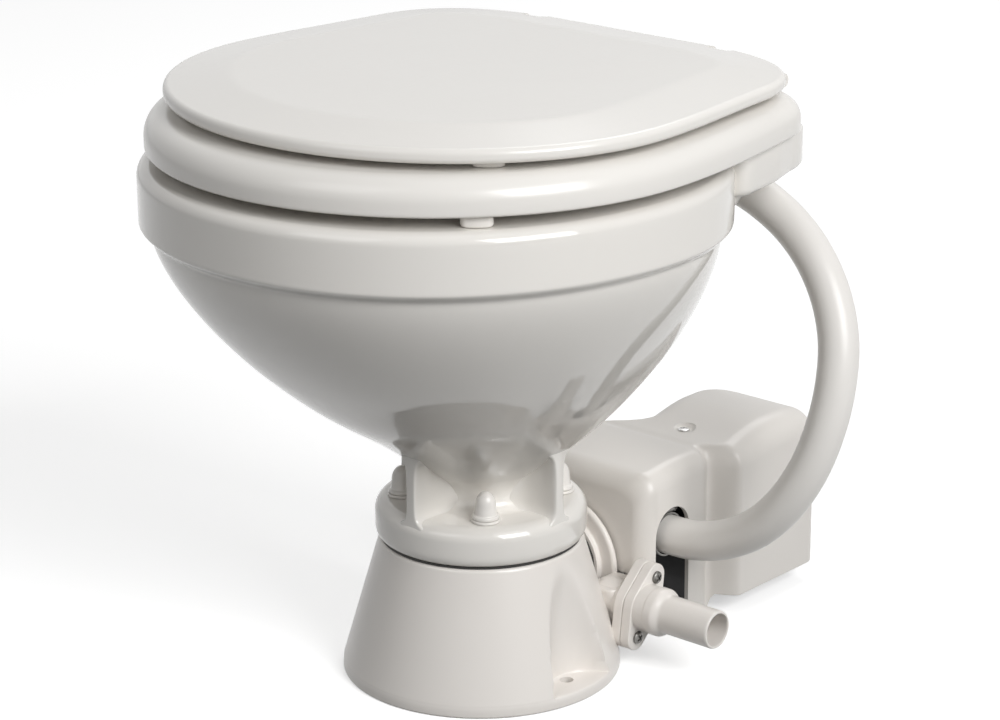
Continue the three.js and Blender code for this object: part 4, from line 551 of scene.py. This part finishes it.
# a web under each front corner of the deck, and the boss that takes the inlet elbow
web_foot, web_lean, web_r, web_grow = np.array([139, 61, 312]), np.array([6, 8, 22]), 6, 8
web_ring = (level_row(1, 0) * (1, 0.8, 1))[::6]
lift = np.linspace(0, 1, 20)[:, None]
for side in (-1, 1):
    web = (web_foot + lift * web_lean) * (side, 1, 1)
    bowl_grids.append(capped(web[:, None] + (web_r + web_grow * lift[:, :, None] ** 2) * web_ring))
inlet_boss = rounded([(0, 96), (24, 96), (18, 122), (18, 132), (0, 132)], [2, 12, 2.5])
bowl_grids.append(turned(inlet_boss, "Y", (0, 0, 310), 64))
piece("china_bowl", bowl_grids, glaze, "frame", "ceramic", "bowl", sharp=60)

# Studs, washers and cap nuts: stainless studs stand in the foot, and white nylon cap nuts clamp the flange.
# Each nut is a dome on a low skirt, moulded in one and turned down on a nylon washer.
nylon = finish("nylon", (0.85, 0.82, 0.78), (0.875, 0.85, 0.815), (0.2, 0.32), relief=0.01, grain=400.0,
               constants={"IOR": 1.53, "Coat Weight": 0.1})
stud_ring, fit_gap = 50.5, 0.3
washer_in, washer_out, washer_h = 3.4, 9.3, 1.7
nut_r, dome_z, dome_h = 6.5, 8.3, 9.2
washer_z = flange_top + fit_gap
washer_top = washer_z + washer_h
nut_z = washer_top + fit_gap
washer = rounded([(washer_in, washer_z), (washer_out, washer_z), (washer_out, washer_top), (washer_in, washer_top),
                  (washer_in, washer_z)], [0.4, 0.6, 0.2], 3)[:-1]
skirt_edge = rounded([(0, nut_z), (8.6, nut_z), (8.6, nut_z + 2.2), (7.2, nut_z + 2.6), (6.6, nut_z + 7.5)],
                     [0.5, 0.8, 0.5], 3)
nut = np.concatenate([skirt_edge, arc(0, 1, 14) * (nut_r, dome_h) + (0, nut_z + dome_z)])
for number in range(4):
    bearing = math.pi / 4 + number * math.pi / 2
    at = (stud_ring * math.cos(bearing), stud_ring * math.sin(bearing), 0)
    piece(f"nylon_washer_{number + 1}", [(turned(washer, at=at, sides=64),)],
          nylon, "frame", "nut_plastic", f"stud_washer_{number + 1}")
    piece(f"nylon_cap_nut_{number + 1}", [turned(nut, at=at, sides=56)],
          nylon, "frame", "nut_plastic", f"cap_nut_{number + 1}")

# Seat and lid: moulded wood-flour board with a baked white enamel, smooth and glossy, with softly rounded edges.
# The lid's middle is raised in a broad low panel. White nylon pads keep seat, lid and rim apart.
enamel = finish("enamel", (0.84, 0.815, 0.775), (0.87, 0.847, 0.81), (0.19, 0.27), ripple=0.10, ripple_scale=26.0,
                patch=6.0, constants={"IOR": 1.5, "Coat Weight": 0.1, "Coat Roughness": 0.12})


def board_outline(half, front, back_y, wide_y, corner_x, corner_y, corner_run, cut, lean):
    """Outline of seat or lid: a straight back, rounded back corners, sides that lean in towards them and an oval
    front, from one line, two quadratic and four cubic curves, with its points spread evenly."""
    side, nose = corner_y - wide_y, (front + wide_y) * 0.55
    corner = (corner_x - (back_y - cut - corner_y) * lean, back_y - cut)
    right = np.concatenate([
        bezier([(0, -front), (half * 0.55, -front), (half, wide_y - nose), (half, wide_y)], 120),
        bezier([(half, wide_y), (half, wide_y + 0.3 * side), (corner_x + 0.45 * side * lean, corner_y - 0.45 * side),
                (corner_x, corner_y)], 80)[1:],
        quadratic((corner_x, corner_y), corner, (corner_x - corner_run, back_y), 60)[1:],
        [(0, back_y)],
    ])
    return both_sides(right, 421)[:-1]


def inset(outline, distance, z):
    """The outline moved inwards along its normals, at a height."""
    along = np.roll(outline, -1, axis=0) - np.roll(outline, 1, axis=0)
    along /= np.linalg.norm(along, axis=1, keepdims=True) + 1e-12
    moved = outline + np.stack([-along[:, 1], along[:, 0]], axis=-1) * distance
    return np.concatenate([moved, z + 0 * moved[:, :1]], axis=-1)


def eased_rows(outline, radius, z, start, end, count, way=1):
    """Rows of an edge rounded by a circle: the outline moved by way (r - r cos a), at the height z + r sin a."""
    return [inset(outline, way * (radius - radius * c), z + radius * s) for c, s in arc(start, end, count)]


seat_low, seat_high, seat_round, hole_round, low_edge = 357.6, 380.0, 15, 9, 2
hole_half, hole_front, hole_back, hole_y = 117, 148, 76, -34
seat_edge = board_outline(half=181, front=214, back_y=140, wide_y=-34, corner_x=161, corner_y=108, corner_run=46,
                          cut=0, lean=0.21)
bearing = np.arctan2((seat_edge[:, 1] - hole_y) / hole_front, seat_edge[:, 0] / hole_half)
hole_reach = np.where(np.sin(bearing) > 0, hole_back - hole_y, hole_front + hole_y)
seat_hole = np.stack([hole_half * np.cos(bearing), hole_y + hole_reach * np.sin(bearing)], axis=-1)
rows = [inset(seat_edge, 6, seat_low), inset(seat_edge, 2.4, seat_low)]
rows += eased_rows(seat_edge, low_edge, seat_low + low_edge, -1, 0, 6)
rows += eased_rows(seat_edge, seat_round, seat_high - seat_round, 0, 1, 18)
rows += eased_rows(seat_hole, hole_round, seat_high - hole_round, 1, 0, 14, way=-1)
rows += eased_rows(seat_hole, low_edge, seat_low + low_edge, 0, -1, 6, way=-1)
rows.append(inset(seat_hole, -6, seat_low))
piece("enamel_seat", [(np.array(rows),)], enamel, "seat", "enamel", "seat")

lid_low, lid_under, lid_round, lid_belt = 385.0, 3.5, 4.2, 4.8
slope_run, slope_rise, slope_end, slope_soft, crown = 42, 5.2, 0.88, 0.035, 0.8
lid_middle = np.array([0, -20, 0])
lid_edge = board_outline(half=174, front=195, back_y=150, wide_y=-38, corner_x=161, corner_y=80, corner_run=93,
                         cut=5, lean=0.12)


def drawn_in(row, share, lift=0.0):
    """The row drawn towards the lid's middle by a share and lifted."""
    return row + (lid_middle - row) * (share, share, 0) + (0, 0, lift)


rows = [inset(lid_edge, 30, lid_low), inset(lid_edge, lid_under, lid_low)]
rows = [drawn_in(rows[0], t) for t in np.linspace(1, 0, 6)[:-1]] + rows
rows += eased_rows(lid_edge, lid_under, lid_low + lid_under, -1, 0, 8)
rows += eased_rows(lid_edge, lid_round, lid_low + lid_belt, 0, 1, 10)
# the rim zone slopes straight up to the raised panel, then levels off
for t in np.linspace(0, 1, 26)[1:]:
    level_off = math.log1p(math.exp((slope_end - t) / slope_soft)) * slope_soft / slope_end
    rows.append(inset(lid_edge, lid_round + slope_run * t, lid_low + 9 + slope_rise * (1 - level_off)))
rows += [drawn_in(row, t, crown * (1 - (1 - t) ** 2)) for row in rows[-1:] for t in np.linspace(0, 1, 24)[1:]]
lid_board = piece("enamel_lid", [np.array(rows)], enamel, "lid", "enamel", "lid")
notch = rounded([(-8.5, 6), (-8.5, -12), (8.5, -12), (8.5, 6)], [3, 3], 5)
carved(lid_board, *[cutter(prism(notch + (side * 77, 150), (380, 405))) for side in (-1, 1)])

pad_run, pad_r, pad_draw = 4.5, 5, 0.98


def pad(name, node, body, x, y, low, high, angle):
    """Bumper: a stadium-shaped pad with rounded edges, its long way turned by an angle."""
    c, s = arc(0, 4, 65)[:-1].T
    ring = np.stack([np.clip(c * 2 * pad_run, -pad_run, pad_run) + pad_r * c, pad_r * s], axis=-1)
    ring = spun(ring, angle)
    rows = [np.insert(ring * (1 - (1 - share) * pad_draw) + (x, y), 2, low + (high - low) * lift, axis=1)
            for share, lift in rounded(rod(1.0, 0, 1.0), [0.3, 0.42], 6)]
    piece(name, [capped(np.array(rows))], nylon, body, "nut_plastic", node)


for side, word in ((-1, "left"), (1, "right")):
    pad(f"seat_pad_front_{word}", f"seat_bumper_front_{word}", "seat", side * 128, -146, 350.3, 357.3, side * 0.72)
    pad(f"seat_pad_rear_{word}", f"seat_bumper_rear_{word}", "seat", side * 139, 20, 350.3, 357.3, side * 1.62)
    pad(f"lid_pad_{word}", f"lid_bumper_{word}", "lid", side * 121, -128, 380.3, 384.7, side * 0.72)


# Hinges: white nylon posts are screwed through the deck, and seat and lid knuckles turn on one steel pin a side.
# They keep the machined shapes of the solids, with their edges eased.
def eased(node, name, surface, body, slot, width):
    """A copy of a solid with its doubled points merged, its flat faces joined and its edges bevelled."""
    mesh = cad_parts[node].data.copy()
    shell = bmesh.new()
    shell.from_mesh(mesh)
    bmesh.ops.remove_doubles(shell, verts=shell.verts, dist=sliver)
    bmesh.ops.dissolve_limit(shell, angle_limit=math.radians(0.5), verts=shell.verts, edges=shell.edges)
    shell.to_mesh(mesh)
    shell.free()
    made = placed(name, mesh, surface, body, slot, node, sharp=33)
    bevel = made.modifiers.new("eased_edges", "BEVEL")
    bevel.width, bevel.segments, bevel.limit_method = width * MM, 2, "ANGLE"
    bevel.angle_limit = math.radians(50)
    bevel.harden_normals = True


steel = finish("steel", (0.56, 0.555, 0.54), (0.66, 0.655, 0.645), (0.22, 0.38), relief=0.02, grain=900.0,
               constants={"Metallic": 1.0})
for word in ("left", "right"):
    eased(f"hinge_post_{word}", f"nylon_post_{word}", nylon, "frame", "nut_plastic", 0.8)
    eased(f"hinge_nut_{word}", f"nylon_thumb_nut_{word}", nylon, "frame", "nut_plastic", 0.6)
    eased(f"seat_hinge_{word}", f"nylon_seat_knuckle_{word}", nylon, "seat", "nut_plastic", 0.6)
    eased(f"lid_hinge_{word}", f"nylon_lid_knuckle_{word}", nylon, "lid", "nut_plastic", 0.6)
    eased(f"hinge_pin_{word}", f"steel_pin_{word}", steel, "frame", "stainless", 0.2)

# Flush hose: thick white vinyl, 26 mm outside, pushed over the flush pump's port and over the bowl's inlet elbow.
# It leaves the cover through the slot, swings out and up behind the rim and ends in a clamp at each end.
vinyl = finish("vinyl", (0.85, 0.825, 0.79), (0.88, 0.857, 0.825), (0.26, 0.38), relief=0.02, ripple=0.12,
               ripple_scale=30.0, constants={"IOR": 1.5})
hose_r, hose_bore = 13.1, 9.5
route = [
    (54.3, 118.5, 69), (80, 118.5, 70), (106, 118.5, 77), (131, 118.5, 91), (151.5, 120, 111.5), (166.5, 124, 137),
    (175, 129.5, 165), (177.5, 136, 193), (174, 143, 220), (163.5, 149, 245), (147, 153.5, 267), (126, 156.5, 284.5),
    (101.5, 157, 298), (76, 157, 306.5), (50, 157, 310), (20, 157, 310),
]


def smooth_way(points, each=14):
    """Curve through the points: a cubic between two of them, whose slope at each point is that of the parabola
    through it and its neighbours, with a run between points that counts as the root of its length."""
    p = np.asarray(points, float)
    p = np.concatenate([[2 * p[0] - p[1]], p, [2 * p[-1] - p[-2]]])
    gap = np.sqrt(np.linalg.norm(np.diff(p, axis=0), axis=1))[:, None]
    pace = np.diff(p, axis=0) / gap
    slope = pace[:-1] + pace[1:] - (p[2:] - p[:-2]) / (gap[:-1] + gap[1:])
    a, b, span = p[1:-2], p[2:-1], gap[1:-1]
    c, d = slope[:-1] * span, slope[1:] * span
    t = np.linspace(0, 1, each, endpoint=False)[:, None, None]
    way = a + c * t + (3 * (b - a) - 2 * c - d) * t ** 2 + (2 * (a - b) + c + d) * t ** 3
    return np.concatenate([way.transpose(1, 0, 2).reshape(-1, 3), p[-2:-1]])


def tube(way, radius, count=72):
    """Rows of circles along a way, each square to it, with the first circle's direction carried on without twist:
    at each point of the way, what lies along the way is taken out of the last circle's direction."""
    way = np.asarray(way, float)
    heading = np.gradient(way, axis=0)
    heading /= np.linalg.norm(heading, axis=1, keepdims=True)
    side = np.zeros_like(way)
    side[0] = np.cross(heading[0], (0, 0, 1))
    side[0] /= np.linalg.norm(side[0])
    for i in range(1, len(way)):
        side[i] = side[i - 1] - heading[i] * (side[i - 1] @ heading[i])
        side[i] /= np.linalg.norm(side[i])
    other = np.cross(heading, side)
    u = np.linspace(0, 2 * np.pi, count, endpoint=False)[None, :, None]
    return way[:, None] + radius * (np.cos(u) * side[:, None] + np.sin(u) * other[:, None])


way = smooth_way(route)
outside = tube(way, hose_r)
bore = tube(way, hose_bore)[::-1]
lips = [0.5 * (outside[-1:] + bore[:1]), 0.5 * (outside[:1] + bore[-1:])]
hose = piece("vinyl_hose", [(np.concatenate([outside, lips[0], bore, lips[1]]),)],
             vinyl, "frame", "hose_vinyl", "flush_hose")

# Near-black steel for the hose clamps and the outlet screws: its dark colour is painted shade, from the shaded slot
# at the pump's clamp.
shade_dark_steel = finish("shade_dark_steel", (0.16, 0.155, 0.145), (0.24, 0.235, 0.225), (0.3, 0.46), relief=0.02, grain=900.0,
                    constants={"Metallic": 1.0})
strap_in, strap_out, strap_w, barrel_x, barrel_z = 13.8, 15.0, 5.5, 2.75, 16.6


def clamp(name, node, x, y, z):
    """Worm-drive clamp: a thin band with rolled edges, a housing on top and a hexagon screw through it."""
    band = rounded([(strap_in, 0), (strap_out, 0), (strap_out, strap_w), (strap_in, strap_w)], 0.35, 3)
    barrel_at = (x + barrel_x, y, z + barrel_z)
    grids = [(turned(band, "X", (x, y, z), 120),),
             turned(rounded(rod(2.9, -6.5, 6.5), 0.5, 3), "Y", barrel_at, 24),
             turned(rounded(rod(3.4, 6.4, 8.6), 0.3, 2), "Y", barrel_at, 6)]
    # the band, housing and screw take the near-black steel, whose dark colour is painted shade
    return piece(name, grids, shade_dark_steel, "frame", "stainless", node)


clamps = [clamp("steel_clamp_pump", "hose_clamp_pump", 54.6, 118.5, 69),
          clamp("steel_clamp_bowl", "hose_clamp_bowl", 26, 157, 310)]

# Inlet elbow: a white plastic elbow, moulded with a barbed spout for the hose.
# It is sealed by a rubber ring in the boss at the back of the bowl.
eased("inlet_elbow", "plastic_inlet_elbow", white_plastic, "frame", "white_plastic", 0.5)
eased("inlet_seal", "rubber_inlet_seal", rubber, "frame", "rubber", 0.3)

# Pump housing: white moulded plastic. A round clamping disc behind the foot, the macerator's chamber behind it,
# and a discharge elbow at the right whose diamond flange takes the outlet spigot.
housing_at, shaft_at, outlet_at, duct_at = (0, 0, 48), (30, 0, 67), (0, 71, 37.5), (56, 0, 34.5)
housing_back = 105.4
disc_r, lobe_r, lobe_out, lobe_up = 16, 9, 9.5, 18
block_middle, block_half, block_square = (51.5, 72.7), (11, 14.8), 0.35
hub = rounded([(0, 79), (32, 79), (32, 83), (41.5, 83), (43, 84.2), (43, 86.4), (41.5, 87.5), (36, 87.5), (33, 89),
               (33, 104), (0, 104)], [0.4, 1.2, 1.0, 1.0, 1.0, 1.0, 1.5, 1.5, 0.4], 4)


def diamond(x0, x1):
    """Flange of two round lobes on a lean joined to a middle disc by tangent lines, with eased edges."""
    lean, reach = math.atan2(lobe_out, lobe_up), math.hypot(lobe_out, lobe_up)
    tilt = math.acos((disc_r - lobe_r) / reach) * 2 / math.pi
    arcs = [arc(start, end, 40) * radius + (0, centre) for centre, radius, start, end in (
        (0, disc_r, tilt - 1, 1 - tilt), (reach, lobe_r, 1 - tilt, 1 + tilt),
        (0, disc_r, 1 + tilt, 3 - tilt), (-reach, lobe_r, 3 - tilt, 3 + tilt))]
    flat = spun(run(np.concatenate([*arcs, arcs[0][:1]]), 221)[:-1], -lean)
    rows = [inset(flat, shrink, 0)[:, [2, 0, 1]] + (x, *outlet_at[1:])
            for shrink, x in rounded([(8, x0), (0, x0), (0, x1), (8, x1)], 0.9, 5)]
    return capped(np.array(rows))


knee = rounded([(0, 43), (11, 43), (13, 47), (13, 62), (15.2, 66), (0, 66)], [2, 3, 3, 2], 6)
block = [np.insert(squared(arc(0, 4, 73)[:-1], block_square) * block_half * (0.5 + 0.5 * grow) + block_middle,
                   2, z, axis=1)
         for grow, z in rounded([(0.55, 21), (1.0, 21), (1.0, 47.5), (0.55, 47.5)], 2.2, 6)]
piece("plastic_pump_housing", [
    turned(hub, "Y", housing_at, 160),
    turned(rounded(rod(23.7, 93, housing_back), 0.8), "Y", shaft_at),
    turned(rounded(rod(11, 71, housing_back), 0.8), "Y", duct_at, 64),
    turned(knee, "X", outlet_at, 72),
    diamond(65.2, 72.5),
    capped(np.array(block)),
    capped(tube(run([(30, 98, 67), (56, 98, 34.5)], 12), 5.75, 32)),
], white_plastic, "frame", "white_plastic", "pump_housing", sharp=50)

# Outlet spigot: one white moulding, held by two steel screws. Its flange clamps a rubber one-way valve.
# The body steps down to the 25 mm spout over which the discharge hose is pushed.
spigot = rounded([
    (12.5, 73.2), (15.6, 73.2), (15.6, 88), (16.0, 89), (16.0, 94.5), (15.0, 96.3), (12.9, 98.8), (12.7, 100.5),
    (12.7, 136.6), (12.2, 137.8), (10.9, 137.8), (10.7, 136.8), (10.7, 96), (12.5, 92), (12.5, 73.2)],
    [0.3, 0.6, 0.6, 1.2, 1.4, 1.2, 1.0, 0.6, 0.5, 0.3, 0.3, 1, 1], 4)[:-1]
piece("plastic_spigot_body", [(turned(spigot, "X", outlet_at),)],
      white_plastic, "frame", "white_plastic", "outlet_spigot")
plate = piece("plastic_spigot_flange", [diamond(72.8, 80.1)],
              white_plastic, "frame", "white_plastic", "outlet_spigot")
carved(plate, cutter(turned(rod(13.6, 70, 82), "X", outlet_at, 72)))

recess_long, recess_wide, recess_deep, recess_turn = 0.62, 0.17, 0.45, 0.6
shank_r, shank_end = 1.9, -5.0


def screw_head(name, node, axis, at, radius, height, metal):
    """Pan-head screw: a low dome with a cross recess pressed into it, and its shank out of sight."""
    dome = arc(0, 1, 9) * (radius, height * 0.65) + (0, height * 0.35)
    shank = [(0, shank_end), (shank_r, shank_end), (shank_r, 0.1), (radius * 0.98, 0.1)]
    made = piece(name, [turned(np.concatenate([shank, dome]), axis, at, 40)],
                 metal, "frame", "stainless", node, sharp=50)
    flat = square_corners * (recess_long * radius, recess_wide * radius)
    levels = (height * (1 - recess_deep - 0.1), height + 1)
    return carved(made, *[cutter(prism(spun(flat, recess_turn + quarter * math.pi / 2), levels, axis) + at)
                          for quarter in (0, 1)])


# The outlet screws take the near-black steel, whose dark colour is painted shade.
screw_head("steel_outlet_screw_lower", "outlet_screw_lower", "X", (80.2, 61.5, 19.5), 4.2, 2.6, shade_dark_steel)
screw_head("steel_outlet_screw_upper", "outlet_screw_upper", "X", (80.2, 80.5, 55.5), 4.2, 2.6, shade_dark_steel)

# Motor cover: one thin satin moulding over both pumps and the motor. Its front part is a box with softly rounded
# edges and a slot at each side for a hose; the longer, higher rear part over the motor is set to the right.
cover_plastic = finish("cover_plastic", (0.79, 0.757, 0.715), (0.825, 0.793, 0.752), (0.27, 0.38), relief=0.016,
                       ripple=0.07, grain=320.0, constants={"IOR": 1.49, "Coat Weight": 0.08})
cover_front, cover_back, cover_half, cover_top, cover_wall = 89.5, 262, 64, 115, 3
nose_r, tail_r, corner_r, side_round, low_corner = 13, 32, 12, 13, 0.4
joint_y, cut_low = 160, -4
slot_y, slot_z, slot_r = 118, 71.5, 17.5
cover_screw_x, cover_screw_y, cover_screw_z = 27, 176, 118.7


def drawn(inward, over):
    """Share by which an edge is drawn in along a quarter ellipse: 1 - sqrt(1 - (inward / over)^2), 0 before it."""
    return 1 - math.sqrt(max(0.0, 1 - max(0.0, inward / over) ** 2))


def box_round(x0, x1, z0, z1, corner, count=22):
    """Section in X and Z: a rectangle with quarter-circle corners, the same number of points on each part."""
    low = low_corner
    parts = [arc(start, start + 1, count) * r + (cx, cz) for start, (cx, cz, r) in enumerate((
        (x1 - corner, z1 - corner, corner), (x0 + corner, z1 - corner, corner),
        (x0 + low, z0 + low, low), (x1 - low, z0 + low, low)))]
    flat = []
    for part, after in zip(parts, parts[1:] + parts[:1]):
        flat += [part, run([part[-1], after[0]], 26)[1:-1]]
    return np.concatenate(flat)


def cover_skin(gap, low_front, low_rear):
    """Cover as rows from its front face to its back, drawn smaller by a gap. The left, right and top edges follow Y
    by smooth steps, and quarter-ellipse shares draw them in at the front face and further at the back."""
    y0, y1, nose, tail, corner = cover_front + gap, cover_back - gap, nose_r - gap, tail_r - gap, corner_r - gap
    rows = []
    for y in np.concatenate([y0 + nose * (1 - arc(0, 1, 14)[:, 0]), np.linspace(y0 + nose, y1 - tail, 90)[1:-1],
                             y1 - tail * (1 - arc(0, 1, 28)[:, 1])]):
        pull, close = drawn(y0 + nose - y, nose), drawn(y - y1 + tail, tail)
        left = -cover_half + gap + nose * pull + 50 * step(y, 130, 58) + 36 * close
        right = cover_half - gap - nose * pull + 15 * step(y, joint_y, 14) - corner * drawn(y - y1 + corner, corner)
        right -= 4 * math.exp(-((y - joint_y) / 5) ** 2)
        top = cover_top - gap - nose * pull + 3 * step(y, 95, 45) + 8.5 * step(y, joint_y, 60) - 13 * close
        top -= 1.0 * math.exp(-((y - 157) / 3.5) ** 2)
        low = low_front + (low_rear - low_front) * step(y, joint_y, 4)
        flat = box_round(left, right, low, top, max(side_round + 5 * step(y, 150, 40) - gap, 3))
        rows.append(np.insert(flat, 1, y, axis=1))
    return capped(np.array(rows))


def slot_cut(side):
    """Slot for a hose: an upright opening with a half-round top, cut through one side of the cover."""
    arch = arc(0, 2, 24) * slot_r + (slot_y, slot_z)
    loop = np.concatenate([arch, [(slot_y - slot_r, cut_low), (slot_y + slot_r, cut_low)]])
    return cutter(prism(loop, sorted((side * 52, side * 76)), "X"))


cover = piece("satin_motor_cover", [cover_skin(0, 1, 13)], cover_plastic, "frame", "cover_plastic", "motor_cover")
low_front = [(-70, 86), (70, 86), (70, 118), (-70, 118)]
dimple = rounded([(0, 118.6), (5.6, 118.6), (9.0, 120.6), (9.8, 130), (0, 130)], [0.8, 1.8, 0], 4)
carved(
    cover, cutter(cover_skin(cover_wall, cut_low, cut_low)), slot_cut(1), slot_cut(-1),
    cutter(prism(low_front, (cut_low, 47))), cutter(turned(rod(35.5, 86, 95), "Y", housing_at)),
    cutter(turned(dimple, at=(cover_screw_x, cover_screw_y, 0), sides=48)),
)
screw_head("steel_cover_screw", "cover_screw", "Z", (cover_screw_x, cover_screw_y, cover_screw_z), 4.0, 1.4, steel)

# Under the cover and inside the foot: black pump parts, a dark painted motor, a steel shaft, cutter and studs, rubber
# seals, valve and impeller, and the housing's white end plate. They stay as the solids, each with the finish of its
# real material, except the motor bracket, whose dark paint is painted shade for the shade inside the cover.
black_plastic = finish("black_plastic", (0.022, 0.022, 0.024), (0.035, 0.035, 0.037), (0.38, 0.52), relief=0.02)
impeller_rubber = finish("impeller_rubber", (0.03, 0.027, 0.024), (0.05, 0.045, 0.04), (0.5, 0.65), relief=0.03)
# The motor's own dark paint, also put on the motor bracket as painted shade.
motor_paint = finish("motor_paint", (0.03, 0.031, 0.034), (0.045, 0.046, 0.05), (0.32, 0.45), relief=0.03,
                     grain=500.0, constants={"IOR": 1.5, "Coat Weight": 0.2})
inner_parts = {
    "soil_seal": rubber, "joker_valve": rubber, "shaft_seal": rubber, "cutter": steel, "motor_shaft": steel,
    "discharge_impeller": black_plastic, "flush_impeller": impeller_rubber, "flush_pump_body": black_plastic,
    # the bracket's dark colour is painted shade for the dark inside of the cover
    "flush_pump_cover": black_plastic, "cable_gland": black_plastic, "motor_bracket": motor_paint,
    "motor_casing": motor_paint, "motor_end_cap": motor_paint, "pump_end_plate": white_plastic,
    **{f"bowl_stud_{i}": steel for i in range(1, 5)},
}
for node, surface in inner_parts.items():
    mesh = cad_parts[node].data
    mesh.materials.clear()
    mesh.materials.append(surface)

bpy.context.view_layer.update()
